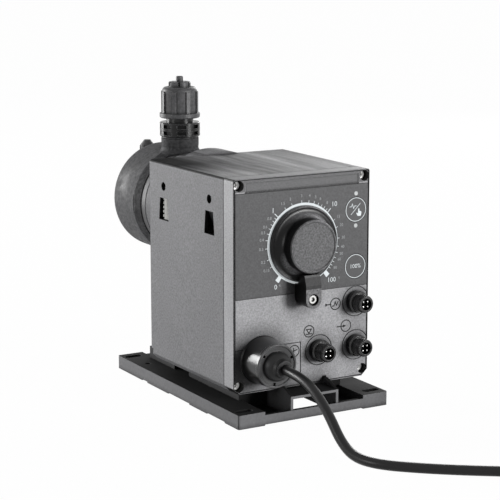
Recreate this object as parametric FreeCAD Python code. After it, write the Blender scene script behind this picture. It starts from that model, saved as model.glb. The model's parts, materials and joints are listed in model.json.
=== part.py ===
import FreeCAD, Part
import math
import os

# A diaphragm metering pump: a plastic housing with a control panel on a snap-on mounting plate,
# a stepper motor and an eccentric inside, and a dosing head with two ball valves at the rear.
# Millimetres. X is to the right seen from the control panel, Y runs from the panel to the dosing
# head and Z is up. The origin is on the plate's underside, midway between its four slots.

os.makedirs("parts", exist_ok=True)
V = FreeCAD.Vector

# Mounting plate
plate_width = 123.0
plate_length = 189.0
plate_thickness = 10.0
plate_corner = 1.6
plate_skin = 2.6
rib_thickness = 2.0
foot_relief = 0.8
foot_reliefs = [(-75.0, -49.0), (-23.0, 10.0), (44.0, 53.0)]
slot_spacing_x = 105.0
slot_spacing_y = 171.4
slot_length = 13.6
slot_width = 5.6
platform_width = 85.0
platform_height = 9.0
front_bay_depth = 33.0
front_wall_height = 7.6
front_wall_thickness = 3.0
bay_floor = 3.2
rear_notch_depth = 6.6
grip_start = 13.0
grip_length = 23.0
grip_depth = 7.0
side_hole_y = 60.5
window_width = 35.2
window_length = 54.0
latch_thickness = 1.9
latch_rise = 3.8
latch_nose_depth = 5.0
latch_play = 0.7
side_hole_radius = 2.2

# Housing and control cover
plate_overhang = 17.5
front_width = 111.0
side_draft = 1.2
body_depth = 120.0
body_height = 150.6
bottom_chamfer = 4.7
top_radius = 2.0
wall = 3.0
front_bevel = 0.3
rim_groove_inset = 0.6
rim_groove_width = 0.7
rim_groove_depth = 1.0
rear_step_depth = 1.2
rear_step_length = 3.4
rear_step_height = 8.3
cover_depth = 13.0
gasket_thickness = 0.6
gasket_inset = 1.0
post_size = 9.6
post_length = 15.0
corner_inset_x = 4.5
corner_inset_top = 4.8
corner_inset_bottom = 5.5
cover_head_recess = 3.75
cover_screw_radius = 2.0
cover_head_radius = 3.4
cover_head_height = 3.2
cover_screw_sink = 5.2
cover_screw_grip = 11.0
socket_radius = 1.7

# Keyhole slots in both sides of the housing
keyhole_front = 32.5
keyhole_pitch = 66.2
keyhole_height = 133.2
keyhole_radius = 3.1
keyhole_drop = 8.6
keyhole_slot = 16.2
keyhole_top_width = 10.6
keyhole_bottom_width = 14.0

# Panel label, keys and status lights
label_inset = 1.5
label_bottom = 67.3
label_height = 73.0
label_thickness = 0.5
label_sink = 0.4
label_margin = 0.4
strip_width = 91.6
strip_height = 6.2
strip_gap = 1.2
strip_depth = 0.4
key_inset = 11.5
key_radius = 8.9
key_gap = 0.15
key_thickness = 1.5
key_travel = 0.5
start_key_rise = 122.1
full_key_rise = 81.3
light_radius = 1.5
light_offset = 11.5

# Dial knob, its lock and the potentiometer behind it
dial_rise = 101.9
skirt_radius = 27.0
skirt_thickness = 2.4
knob_radius = 18.8
knob_height = 14.4
knob_gap = 0.5
knob_flare = 6.4
knob_wall = 2.2
shaft_radius = 3.0
running_gap = 0.04
hub_radius = 6.2
sensor_radius = 8.5
sensor_bush_radius = 4.8
sensor_floor = 1.5
lock_width = 12.5
lock_height = 14.8
lock_gap = 0.6
lock_slope = 2.5
lock_screw_drop = 9.8
lock_recess_radius = 4.1
lock_head_radius = 3.3
lock_recess_depth = 3.4
lock_screw_radius = 2.0

# Signal connectors, M12 with four contacts
plug_thread_radius = 6.0
plug_base_radius = 7.85
plug_base_length = 5.2
plug_thread_length = 9.0
plug_bore = 4.3
plug_bore_depth = 7.6
plug_seat_radius = 11.2
plug_fit = 0.5
plug_tail = 4.0
plug_nut_height = 2.4
contact_radius = 0.5
contact_circle = 2.5
plug_inset = 10.9
plug_spacing = 30.9
plug_upper_rise = 55.9
plug_lower_rise = 24.0

# Mains gland
gland_inset = 22.5
gland_rise = 23.0
gland_root_radius = 17.2
gland_radius = 15.6
gland_length = 21.0
gland_bore = 10.9
gland_cap_thickness = 2.6
gland_screw_circle = 12.7
gland_screw_radius = 1.1
bushing_radius = 10.6
bushing_nose_radius = 6.1
bushing_nose = 10.4
bushing_bore_depth = 6.0
gland_frame_left = -54.2
gland_frame_right = -1.0
gland_frame_top = 31.9
groove_width = 0.7
groove_depth = 0.7

# Circuit board
board_thickness = 1.6
board_gap = 6.4
board_margin_x = 5.0
board_bottom = 16.0
board_top = 134.0
board_middle = 70.0
board_screw_grip = 4.0
standoff_radius = 3.2
board_screw_radius = 1.25
transformer_width = 30.0
transformer_height = 28.0
relay_width = 16.0
capacitor_count = 4
capacitor_radius = 3.8

# Drive
head_rise = 107.3
frame_plate = 5.0
frame_half_width = 31.0
frame_lower = 31.3
frame_upper = 23.7
frame_screw_x = 36.0
frame_screw_z = 22.0
frame_screw_radius = 2.0
frame_screw_grip = 6.0
bearing_radius = 8.0
bearing_bore = 2.5
gear_module = 0.8
pinion_teeth = 16
gear_teeth = 64
gear_width = 6.0
gear_backlash = 0.12
gear_clearance = 1.6
motor_size = 42.0
motor_length = 46.0
motor_shaft_radius = 2.5
motor_pilot_radius = 11.0
motor_pilot_height = 2.0
motor_screw_pitch = 31.0
motor_screw_radius = 1.5
motor_flange_height = 4.0
motor_stator_radius = 19.0
motor_rotor_radius = 12.0
stroke = 3.0
eccentric_radius = 8.0
roller_radius = 13.0
roller_height = 8.0
yoke_play = 0.3
yoke_wall = 4.6
yoke_height = 12.0
rod_radius = 5.0
bush_radius = 8.0
bush_length = 28.0
bush_flange = 3.0
guide_hub_radius = 12.0

# Rear collar, neck and dosing head
collar_radius = 46.0
collar_length = 16.0
neck_radius = 38.6
neck_length = 46.6
neck_bore = 32.5
ring_radius = 38.9
ring_length = 6.7
ring_bore = 22.2
ring_clear = 0.6
head_near_radius = 39.5
head_radius = 42.0
head_length = 43.7
head_taper = 7.0
head_edge = 3.0
membrane_radius = 26.0
membrane_thickness = 2.0
membrane_clamp = 21.6
chamber_radius = 21.6
chamber_depth = 5.0
core_radius = 14.0
core_thickness = 4.5
head_cap_radius = 36.5
head_cap_thickness = 4.0
head_screw_circle = 29.0
head_screw_radius = 2.5
head_screw_head = 4.2
head_screw_sink = 9.0
slit_length = 15.0
slit_width = 0.9
slit_depth = 1.4

# Valves
valve_offset = 8.7
boss_radius = 14.65
boss_reach = 49.7
boss_flare = 2.6
valve_collar_radius = 15.7
valve_collar_height = 11.0
valve_gap = 1.0
valve_neck_radius = 10.6
valve_thread_radius = 11.4
valve_neck_length = 3.0
valve_socket_depth = 9.4
valve_core_length = 33.4
valve_windows = 8
window_half = 3.6
valve_bore = 4.6
channel_radius = 4.0
ball_radius = 3.9
ball_lift = 1.5
seat_bore = 2.4
seat_height = 3.0
ball_gap = 0.3
nut_flange_radius = 15.75
nut_flange_height = 4.2
nut_radius = 14.6
nut_height = 24.0
nut_ribs = 8
clamp_ring_radius = 8.65
clamp_ring_height = 3.9
nipple_radius = 2.75
nipple_shank_radius = 3.3
nipple_reach = 4.2
nipple_bore = 1.6

# Vent valve on the far face of the dosing head
vent_x = -7.5
vent_block_width = 13.0
vent_block_depth = 13.0
vent_block_top = 33.0
vent_block_height = 18.0
vent_knob_radius = 6.2
vent_knob_height = 10.4
vent_stem_radius = 2.5
vent_nipple_radius = 2.4
vent_nipple_length = 15.0
vent_bore = 1.0

# Mains cord, wound up beyond its first stretch, and its plug
cord_radius = 3.4
coil_radius = 37.4
coil_layers = 3
coil_centre_x = 96.0
coil_centre_y = -262.0
coil_entry_angle = -130.0
mains_plug_radius = 18.5
mains_plug_length = 34.0
mains_plug_sleeve = 24.0
mains_pin_radius = 2.4
mains_pin_length = 19.0
mains_pin_pitch = 19.0
tail_length = 31.0

# Places that follow from the sizes above
panel_y = plate_overhang - plate_length / 2
body_bottom = plate_thickness + platform_height
body_top = body_bottom + body_height
cover_back = panel_y + cover_depth - gasket_thickness / 2
housing_front = cover_back + gasket_thickness
housing_back = panel_y + body_depth
head_z = body_bottom + head_rise
dial_z = body_bottom + dial_rise
label_face = panel_y - label_thickness + label_sink
label_width = front_width - 2 * label_inset
key_x = front_width / 2 - key_inset
plug_right_x = front_width / 2 - plug_inset
plug_left_x = plug_right_x - plug_spacing
gland_x = gland_inset - front_width / 2
ring_front = housing_back + neck_length
head_front = ring_front + ring_length
head_back = head_front + head_length
valve_y = head_front + valve_offset
rear_plate_front = housing_back - wall - frame_plate
gear_tip_radius = gear_module * (gear_teeth / 2 + 1)
gear_y = rear_plate_front - gear_tip_radius - gear_clearance
centre_distance = gear_module * (gear_teeth + pinion_teeth) / 2
motor_y = gear_y - centre_distance
lower_plate_top = head_z - frame_lower + frame_plate
upper_plate_bottom = head_z + frame_upper
gear_z = lower_plate_top + 3.0
eccentric_offset = stroke / 2
board_y = panel_y + wall + board_gap
coil_height = 2 * cord_radius * coil_layers
lock_screw_z = dial_z - skirt_radius - lock_gap - lock_screw_drop


def block(x0, x1, y0, y1, z0, z1):
    return Part.makeBox(x1 - x0, y1 - y0, z1 - z0, V(x0, y0, z0))


def rod(radius, start, end):
    return Part.makeCylinder(radius, (end - start).Length, start, end - start)


def turned(profile, base, axis):
    """A turned solid. Each step of the profile is (distance, radius), or an arc that passes
    through (distance, radius) and ends at (distance, radius)."""
    edges = []
    here = V(profile[0][1], 0, profile[0][0])
    for step in list(profile[1:]) + [profile[0]]:
        there = V(step[-1], 0, step[-2])
        if len(step) == 4:
            edges.append(Part.Arc(here, V(step[1], 0, step[0]), there).toShape())
        else:
            edges.append(Part.LineSegment(here, there).toShape())
        here = there
    solid = Part.Face(Part.Wire(edges)).revolve(V(0, 0, 0), V(0, 0, 1), 360)
    solid.Placement = FreeCAD.Placement(base, FreeCAD.Rotation(V(0, 0, 1), axis))
    return solid


def prism(points, direction):
    """A flat outline pushed along a direction."""
    return Part.Face(Part.makePolygon(points + [points[0]])).extrude(direction)


def ring(outer, inner, start, end):
    return rod(outer, start, end).cut(rod(inner, start, end))


def rounded(x0, x1, y0, y1, z0, z1, radius):
    """A block whose upright edges are rounded."""
    solid = block(x0, x1, y0, y1, z0, z1)
    upright = [e for e in solid.Edges if abs(e.tangentAt(e.FirstParameter).z) > 0.9]
    return solid.makeFillet(radius, upright)


def slot(x, y, length, width, z0, z1):
    """A round-ended slot that runs along X."""
    reach = (length - width) / 2
    cut = block(x - reach, x + reach, y - width / 2, y + width / 2, z0, z1)
    ends = [rod(width / 2, V(x + side, y, z0), V(x + side, y, z1)) for side in (-reach, reach)]
    return cut.fuse(ends).removeSplitter()


def half_width(y):
    return front_width / 2 + (y - panel_y) * math.tan(math.radians(side_draft))


def body_section(y, inset):
    """The housing's outline at one depth, moved inwards by an inset."""
    half = half_width(y) - inset
    low = body_bottom + inset
    high = body_top - inset
    cut = max(bottom_chamfer - inset * (2 - math.sqrt(2)), 0.5)
    radius = max(top_radius - inset, 0.6)
    bend = radius * (1 - math.sqrt(0.5))
    right = [V(half - cut, y, low), V(half, y, low + cut), V(half, y, high - radius)]
    left = [V(-half, y, high - radius), V(-half, y, low + cut), V(cut - half, y, low)]
    edges = [Part.LineSegment(right[0], right[1]).toShape()]
    edges.append(Part.LineSegment(right[1], right[2]).toShape())
    middle = V(half - bend, y, high - bend)
    edges.append(Part.Arc(right[2], middle, V(half - radius, y, high)).toShape())
    edges.append(Part.LineSegment(V(half - radius, y, high), V(radius - half, y, high)).toShape())
    middle = V(bend - half, y, high - bend)
    edges.append(Part.Arc(V(radius - half, y, high), middle, left[0]).toShape())
    edges.append(Part.LineSegment(left[0], left[1]).toShape())
    edges.append(Part.LineSegment(left[1], left[2]).toShape())
    edges.append(Part.LineSegment(left[2], right[0]).toShape())
    return Part.Wire(edges)


def body_block(y0, y1, inset):
    return Part.makeLoft([body_section(y0, inset), body_section(y1, inset)], True, True)


def level_block(y0, y1, inset):
    """The outline at one depth pushed straight back, without the draft of the sides."""
    return Part.Face(body_section(y0, inset)).extrude(V(0, y1 - y0, 0))


def corner_places():
    """The four cover screws, left and right, bottom and top."""
    x = front_width / 2 - corner_inset_x
    heights = (body_bottom + corner_inset_bottom, body_top - corner_inset_top)
    return [(side * x, z) for side in (-1, 1) for z in heights]


def corner_posts(y0, y1):
    """Square posts round the cover screws, out to the walls."""
    inner = post_size - corner_inset_x
    outer = 2 * post_size
    posts = []
    for x, z in corner_places():
        x0, x1 = (x - outer, x + inner) if x < 0 else (x - inner, x + outer)
        z0, z1 = (z - outer, z + inner) if z < head_z else (z - inner, z + outer)
        posts.append(block(x0, x1, y0, y1, z0, z1))
    return posts


def plug_places():
    """The three signal connectors on the panel."""
    upper = body_bottom + plug_upper_rise
    lower = body_bottom + plug_lower_rise
    return [(plug_right_x, upper), (plug_right_x, lower), (plug_left_x, lower)]


def key_places():
    return [(key_x, body_bottom + start_key_rise), (key_x, body_bottom + full_key_rise)]


def light_places():
    x, z = key_places()[0]
    return [(x, z + light_offset), (x, z - light_offset)]


def across_panel(radius, x, z, y0, y1):
    """A cylinder square to the panel."""
    return rod(radius, V(x, y0, z), V(x, y1, z))


def along_head(radius, y0, y1, x=0, z=0):
    """A cylinder along the dosing head's axis, or beside it."""
    return rod(radius, V(x, y0, head_z + z), V(x, y1, head_z + z))


def mounting_plate():
    half_x = plate_width / 2
    half_y = plate_length / 2
    deck = platform_width / 2
    top = plate_thickness
    bay_back = front_bay_depth - half_y
    platform_back = half_y - plate_overhang
    plate = rounded(-half_x, half_x, -half_y, half_y, 0, top, plate_corner)
    platform = block(-deck, deck, bay_back, platform_back, top - plate_skin, body_bottom)
    plate = plate.fuse(platform)
    # the front bay behind its low wall, the rear notch and the grips in the platform's sides
    inner = deck - rib_thickness
    plate = plate.cut(block(-inner, inner, front_wall_thickness - half_y, bay_back, bay_floor, top + 1))
    plate = plate.cut(block(-inner, inner, -half_y - 1, bay_back, front_wall_height, top + 1))
    plate = plate.cut(block(-inner, inner, half_y - rear_notch_depth, half_y + 1, -1, top + 1))
    for side in (-1, 1):
        x = side * (deck - grip_depth / 2)
        reach = grip_depth / 2 + 0.01
        y = grip_start
        plate = plate.cut(block(x - reach, x + reach, y, y + grip_length, top, body_bottom + 1))
    # pockets underneath, which leave the skin, the outer walls and the ribs
    columns = 4
    rows = 5
    pitch_x = (platform_width - rib_thickness) / columns
    first_y = window_length - half_y + rib_thickness
    pitch_y = (platform_back - rib_thickness - first_y) / rows
    for column in range(columns):
        for row in range(rows):
            x0 = -deck + rib_thickness + column * pitch_x
            y0 = first_y + row * pitch_y
            x1 = x0 + pitch_x - rib_thickness
            y1 = y0 + pitch_y - rib_thickness
            roof = body_bottom - plate_skin
            if column in (0, columns - 1):
                roof = top - plate_skin
            plate = plate.cut(block(x0, x1, y0, y1, -1, roof))
    side_rows = 7
    side_reach = slot_spacing_y / 2 - 2 * slot_width
    side_pitch = 2 * side_reach / side_rows
    for side in (-1, 1):
        x0, x1 = sorted((side * (deck + rib_thickness), side * (half_x - plate_skin)))
        for row in range(side_rows):
            y0 = row * side_pitch - side_reach
            plate = plate.cut(block(x0, x1, y0, y0 + side_pitch - rib_thickness, -1, top - plate_skin))
    for y0, y1 in foot_reliefs:
        plate = plate.cut(block(-half_x - 1, half_x + 1, y0, y1, -1, foot_relief))
    plate = plate.cut(block(-inner, inner, -half_y - 1, front_wall_thickness - half_y, -1, foot_relief))
    # the window under the release latch
    half_window = window_width / 2
    window_front = front_wall_thickness - half_y
    window_back = window_length - half_y
    plate = plate.cut(block(-half_window, half_window, window_front, window_back, -1, body_bottom + 1))
    # the latch: two ribs with noses that hook into the cover, and a sloped thumb plate
    front = 0.4 - half_y
    nose = panel_y + latch_nose_depth
    thumb_y = panel_y - 1.2
    under = body_bottom - 0.4
    outline = [(front, bay_floor), (front, under - 1.2), (panel_y - 7, body_bottom + latch_rise - 1.4),
               (panel_y - 3, body_bottom + latch_rise), (nose, body_bottom + latch_rise), (nose, under),
               (bay_back + 1, under), (bay_back + 1, bay_floor)]
    for side in (-1, 1):
        x = side * (half_window + rib_thickness / 2) - rib_thickness / 2
        rib = prism([V(x, y, z) for y, z in outline], V(rib_thickness, 0, 0))
        plate = plate.fuse(rib)
    outline = [(front, under - 1.2), (thumb_y, under - 0.2), (thumb_y, under - 0.2 - latch_thickness),
               (front, under - 1.2 - latch_thickness)]
    thumb = prism([V(-half_window, y, z) for y, z in outline], V(window_width, 0, 0))
    plate = plate.fuse(thumb)
    # slots and the small round holes
    for x in (-slot_spacing_x / 2, slot_spacing_x / 2):
        for y in (-slot_spacing_y / 2, slot_spacing_y / 2):
            plate = plate.cut(slot(x, y, slot_length, slot_width, -1, top + 1))
        plate = plate.cut(rod(side_hole_radius, V(x, side_hole_y, -1), V(x, side_hole_y, top + 1)))
    return plate.removeSplitter()


def keyhole(side, y):
    """A round hole over a slot that widens downwards, through one side wall."""
    hole_z = body_bottom + keyhole_height
    high = hole_z - keyhole_drop
    low = high - keyhole_slot
    x0 = side * (front_width / 2 - 3 * wall)
    push = V(side * 6 * wall, 0, 0)
    points = [(y - keyhole_top_width / 2, high), (y + keyhole_top_width / 2, high),
              (y + keyhole_bottom_width / 2, low), (y - keyhole_bottom_width / 2, low)]
    cut = prism([V(x0, py, pz) for py, pz in points], push)
    return [cut, rod(keyhole_radius, V(x0, y, hole_z), V(x0, y, hole_z) + push)]


def housing():
    shell = body_block(housing_front, housing_back, 0)
    hollow = body_block(housing_front - 0.01, housing_back - wall, wall)
    hollow = hollow.cut(corner_posts(housing_front - 1, housing_front + post_length))
    shell = shell.cut(hollow)
    collar = along_head(collar_radius, housing_back - wall, housing_back + collar_length)
    shell = shell.fuse([collar, along_head(neck_radius, housing_back, ring_front)])
    cuts = [along_head(neck_bore, housing_back - wall - 1, ring_front + 1)]
    for side in (-1, 1):
        for y in (panel_y + keyhole_front, panel_y + keyhole_front + keyhole_pitch):
            cuts += keyhole(side, y)
        edge = half_width(housing_back)
        x0, x1 = sorted((side * (edge - rear_step_depth), side * (edge + wall)))
        cuts.append(block(x0, x1, housing_back - rear_step_length, housing_back + 1,
                          body_bottom - 1, body_bottom + rear_step_height))
    for x, z in corner_places():
        cuts.append(across_panel(cover_screw_radius, x, z, housing_front - 1, housing_front + cover_screw_grip))
    for x, z in frame_screw_places():
        cuts.append(along_head(frame_screw_radius, housing_back - wall - 1,
                               housing_back - wall + frame_screw_grip, x, z))
    return shell.cut(cuts).removeSplitter()


def frame_screw_places():
    return [(sx * frame_screw_x, sz * frame_screw_z) for sx in (-1, 1) for sz in (-1, 1)]


def cover_gasket():
    """The seal between cover and housing, set back a little so that a fine joint shows."""
    seal = body_block(cover_back, housing_front, gasket_inset)
    hollow = body_block(cover_back - 0.01, housing_front + 0.01, wall)
    hollow = hollow.cut(corner_posts(cover_back - 1, housing_front + 1))
    seal = seal.cut(hollow)
    for x, z in corner_places():
        seal = seal.cut(across_panel(cover_screw_radius, x, z, cover_back - 1, housing_front + 1))
    return seal


def standoff_places():
    x = half_width(panel_y) - wall - board_margin_x - standoff_radius
    return [(side * x, body_bottom + z) for side in (-1, 1) for z in (board_middle, board_top - 9.0)]


def control_cover():
    bevel = [body_section(panel_y, front_bevel), body_section(panel_y + front_bevel, 0)]
    shell = Part.makeLoft(bevel, True, True).fuse(body_block(panel_y + front_bevel, cover_back, 0))
    shell = shell.removeSplitter()
    hollow = body_block(panel_y + wall, cover_back + 0.01, wall)
    hollow = hollow.cut(corner_posts(panel_y, cover_back + 1))
    shell = shell.cut(hollow)
    shell = shell.fuse([across_panel(standoff_radius, x, z, panel_y + wall - 0.5, board_y)
                        for x, z in standoff_places()])
    front = panel_y - 1
    back = panel_y + wall + 1
    rim_floor = panel_y + rim_groove_depth
    rim = level_block(front, rim_floor, rim_groove_inset)
    shell = shell.cut(rim.cut(level_block(front, rim_floor, rim_groove_inset + rim_groove_width)))
    half_label = label_width / 2 + label_margin
    low = body_bottom + label_bottom
    cuts = [block(-half_label, half_label, front, panel_y + label_sink, low - label_margin,
                  low + label_height + label_margin)]
    strip_low = low + label_height + strip_gap
    cuts.append(block(-strip_width / 2, strip_width / 2, front, panel_y + strip_depth,
                      strip_low, strip_low + strip_height))
    for x, z in corner_places():
        cuts.append(across_panel(cover_head_recess, x, z, front, panel_y + cover_screw_sink + cover_head_height))
        cuts.append(across_panel(cover_screw_radius + running_gap, x, z, front, cover_back + 1))
    for x, z in key_places():
        key_seat = label_face + key_thickness + key_travel + 0.2
        cuts.append(across_panel(key_radius + key_gap, x, z, front, key_seat))
    for x, z in light_places():
        cuts.append(across_panel(light_radius, x, z, front, back))
    for x, z in plug_places():
        cuts.append(across_panel(plug_thread_radius + plug_fit, x, z, front, back))
        groove = across_panel(plug_seat_radius, x, z, front, panel_y + groove_depth)
        cuts.append(groove.cut(across_panel(plug_seat_radius - groove_width, x, z, front, back)))
    cuts.append(across_panel(sensor_bush_radius, 0, dial_z, front, back))
    cuts.append(across_panel(lock_screw_radius + running_gap, 0, lock_screw_z, front, back))
    cuts.append(across_panel(gland_bore, gland_x, body_bottom + gland_rise, front, back))
    for board_x, board_z in standoff_places():
        cuts.append(across_panel(board_screw_radius, board_x, board_z, board_y - board_screw_grip, board_y + 1))
    # a fine groove frames the mains inlet
    frame_top = body_bottom + gland_frame_top
    outer = block(gland_frame_left, gland_frame_right, front, panel_y + groove_depth, body_bottom - 1, frame_top)
    inner = block(gland_frame_left - 1, gland_frame_right - groove_width, front, back,
                  body_bottom - 2, frame_top - groove_width)
    cuts.append(outer.cut(inner))
    # the latch noses hook into two notches in the lower edge
    for side in (-1, 1):
        x = side * (window_width / 2 + rib_thickness / 2)
        reach = rib_thickness / 2 + latch_play
        cuts.append(block(x - reach, x + reach, front, panel_y + latch_nose_depth + latch_play,
                          body_bottom - 1, body_bottom + latch_rise + latch_play))
    return shell.cut(cuts).removeSplitter()


def cover_screws():
    head = panel_y + cover_screw_sink
    tip = housing_front + cover_screw_grip - 1
    screws = []
    for x, z in corner_places():
        profile = [(0, 0), (0, cover_head_radius - 0.6), (0.6, cover_head_radius),
                   (cover_head_height, cover_head_radius), (cover_head_height, cover_screw_radius),
                   (tip - head, cover_screw_radius), (tip - head, 0)]
        screw = turned(profile, V(x, head, z), V(0, 1, 0))
        screws.append(screw.cut(hexagon(x, z, head, socket_radius, 2.0)))
    return Part.makeCompound(screws)


def hexagon(x, z, y, radius, depth):
    """A hexagon socket square to the panel."""
    points = [V(x + radius * math.cos(math.radians(60 * k)), y, z + radius * math.sin(math.radians(60 * k)))
              for k in range(6)]
    return prism(points, V(0, depth, 0))


def panel_label():
    low = body_bottom + label_bottom
    plate = block(-label_width / 2, label_width / 2, label_face, label_face + label_thickness,
                  low, low + label_height)
    edges = [e for e in plate.Edges if abs(e.tangentAt(e.FirstParameter).y) > 0.9]
    plate = plate.makeFillet(1.0, edges)
    holes = [across_panel(key_radius + key_gap, x, z, label_face - 1, panel_y + 1) for x, z in key_places()]
    holes += [across_panel(light_radius, x, z, label_face - 1, panel_y + 1) for x, z in light_places()]
    holes.append(across_panel(sensor_bush_radius, 0, dial_z, label_face - 1, panel_y + 1))
    holes.append(across_panel(lock_screw_radius + running_gap, 0, lock_screw_z, label_face - 1, panel_y + 1))
    return plate.cut(holes)


def key(place):
    x, z = place
    profile = [(0, 0), (0, key_radius - 0.25), (0.25, key_radius), (key_thickness, key_radius),
               (key_thickness, 0)]
    return turned(profile, V(x, label_face, z), V(0, 1, 0))


def status_lights():
    return Part.makeCompound([across_panel(light_radius, x, z, label_face, board_y) for x, z in light_places()])


def dial_knob():
    face = knob_height
    lip = 0.5
    flare_mid = (skirt_thickness + 0.9, knob_radius + 2.6)
    profile = [(0, shaft_radius), (face - 4, shaft_radius), (face - 4, 0), (face - lip, 0),
               (face - lip, knob_radius - 2.0), (face, knob_radius - 1.5), (face, knob_radius - 0.7),
               (face - 0.7, knob_radius), (knob_flare, knob_radius + 0.5),
               flare_mid + (skirt_thickness, skirt_radius - 1.2),
               (skirt_thickness - 0.8, skirt_radius), (0, skirt_radius), (0, skirt_radius - knob_wall),
               (1.0, skirt_radius - knob_wall), (1.0, knob_radius - knob_wall),
               (face - 2.6, knob_radius - knob_wall), (face - 2.6, hub_radius), (0, hub_radius)]
    return turned(profile, V(0, label_face - knob_gap, dial_z), V(0, -1, 0))


def dial_shaft():
    return across_panel(shaft_radius, 0, dial_z, label_face - knob_gap - knob_height + 4,
                        board_y - sensor_floor)


def dial_sensor():
    """The potentiometer that the dial turns, fixed to the circuit board."""
    front = panel_y + wall
    body = across_panel(sensor_radius, 0, dial_z, front, board_y)
    body = body.fuse(across_panel(sensor_bush_radius, 0, dial_z, label_face - 0.2, front + 1))
    return body.cut(across_panel(shaft_radius + running_gap, 0, dial_z, label_face - 1, board_y - sensor_floor))


def knob_lock():
    """The clamp under the dial. Its nose reaches over the dial's skirt."""
    half = lock_width / 2
    back = label_face
    front = back - lock_height
    top = dial_z - skirt_radius - lock_gap
    centre = lock_screw_z
    body = block(-half, half, front, back, centre, top)
    body = body.fuse(across_panel(half, 0, centre, front, back))
    skirt_front = label_face - knob_gap - skirt_thickness
    flare_front = label_face - knob_gap - knob_flare
    nose_top = dial_z - knob_radius - 1.3
    outline = [(skirt_front - lock_gap, top - 0.01), (flare_front - lock_gap, nose_top),
               (front + lock_slope, nose_top), (front, top + 0.4), (front, top - 0.01)]
    body = body.fuse(prism([V(-half, y, z) for y, z in outline], V(lock_width, 0, 0)))
    body = body.cut([across_panel(lock_recess_radius, 0, centre, front - 1, front + lock_recess_depth),
                     across_panel(lock_screw_radius + running_gap, 0, centre, front - 1, back + 1)])
    return body.removeSplitter()


def lock_screw():
    front = label_face - lock_height + lock_recess_depth
    reach = panel_y + wall - front
    profile = [(-2.2, 0), (-2.2, lock_head_radius - 0.5), (-1.7, lock_head_radius), (-0.1, lock_head_radius),
               (-0.1, lock_screw_radius), (reach, lock_screw_radius), (reach, 0)]
    screw = turned(profile, V(0, front, lock_screw_z), V(0, 1, 0))
    return screw.cut(hexagon(0, lock_screw_z, front - 2.2, socket_radius, 1.6))


def signal_plug(place):
    """The metal-cored shell of a connector: a plain base, then the thread's outer surface."""
    x, z = place
    base = plug_base_length
    tip = base + plug_thread_length
    inside = -wall - plug_tail
    profile = [(inside, plug_bore), (inside, plug_thread_radius + plug_fit), (0, plug_thread_radius + plug_fit),
               (0, plug_base_radius), (base - 0.8, plug_base_radius), (base, plug_base_radius - 1.0),
               (base, plug_thread_radius), (tip - 0.6, plug_thread_radius), (tip, plug_thread_radius - 0.5),
               (tip, plug_bore)]
    shell = turned(profile, V(x, panel_y, z), V(0, -1, 0))
    front = panel_y + wall
    nut = across_panel(plug_base_radius, x, z, front, front + plug_nut_height)
    nut = nut.cut(across_panel(plug_thread_radius + plug_fit, x, z, front - 1, front + 9))
    return Part.makeCompound([shell, nut])


def plug_insert(place):
    x, z = place
    back = panel_y + wall + plug_tail
    front = panel_y - plug_base_length - plug_thread_length + plug_bore_depth
    insert = across_panel(plug_bore, x, z, front, back)
    return insert.cut([across_panel(contact_radius, px, pz, front - 1, back + 1)
                       for px, pz in contact_places(x, z)])


def contact_places(x, z):
    angles = [math.radians(45 + 90 * k) for k in range(4)]
    return [(x + contact_circle * math.cos(a), z + contact_circle * math.sin(a)) for a in angles]


def plug_contacts(place):
    x, z = place
    front = panel_y - plug_base_length - plug_thread_length + 1.2
    return Part.makeCompound([across_panel(contact_radius, px, pz, front, board_y)
                              for px, pz in contact_places(x, z)])


def gland_places(circle):
    angles = [math.radians(a) for a in (22.0, 142.0, 262.0)]
    z = body_bottom + gland_rise
    return [(gland_x + circle * math.cos(a), z + circle * math.sin(a)) for a in angles]


def gland_socket():
    end = gland_length - gland_cap_thickness
    floor = 3.0
    spigot = gland_bore - running_gap
    profile = [(-wall - 1, 4.2), (-wall - 1, spigot), (0, spigot), (0, gland_root_radius),
               (1.2, gland_root_radius - 0.5), (end, gland_radius + 0.1), (end, gland_bore), (floor, gland_bore),
               (floor, 4.2)]
    socket = turned(profile, V(gland_x, panel_y, body_bottom + gland_rise), V(0, -1, 0))
    return socket.cut([across_panel(gland_screw_radius, x, z, panel_y - end - 1, panel_y - end + 9)
                       for x, z in gland_places(gland_screw_circle)])


def gland_cap():
    start = gland_length - gland_cap_thickness
    z = body_bottom + gland_rise
    profile = [(start, bushing_radius), (start, gland_radius + 0.1), (gland_length - 0.5, gland_radius),
               (gland_length, gland_radius - 0.6), (gland_length, gland_radius - 1.6),
               (gland_length - 0.7, gland_radius - 2.0), (gland_length - 0.7, bushing_radius)]
    cap = turned(profile, V(gland_x, panel_y, z), V(0, -1, 0))
    back = panel_y - gland_length
    return cap.cut([across_panel(gland_screw_radius + running_gap, x, pz, back - 1, back + 9)
                    for x, pz in gland_places(gland_screw_circle)])


def gland_screws():
    front = panel_y - gland_length + 1.1
    back = front + 9.0
    return Part.makeCompound([across_panel(gland_screw_radius, x, z, front, back)
                              for x, z in gland_places(gland_screw_circle)])


def cable_bushing():
    """The rubber bushing: a plain ring inside the cap, then a dome down to a collar."""
    shoulder = gland_length + 0.4
    nose = gland_length + bushing_nose
    bore = cord_radius + 0.2
    profile = [(4.0, 0), (4.0, bushing_radius), (shoulder, bushing_radius),
               (shoulder + 3.4, bushing_radius - 1.4, shoulder + 5.6, bushing_nose_radius + 0.9),
               (nose - 2.4, bushing_nose_radius), (nose - 0.4, bushing_nose_radius),
               (nose, bushing_nose_radius - 0.5), (nose, bore), (nose - bushing_bore_depth, bore),
               (nose - bushing_bore_depth, 0)]
    return turned(profile, V(gland_x, panel_y, body_bottom + gland_rise), V(0, -1, 0))


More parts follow.
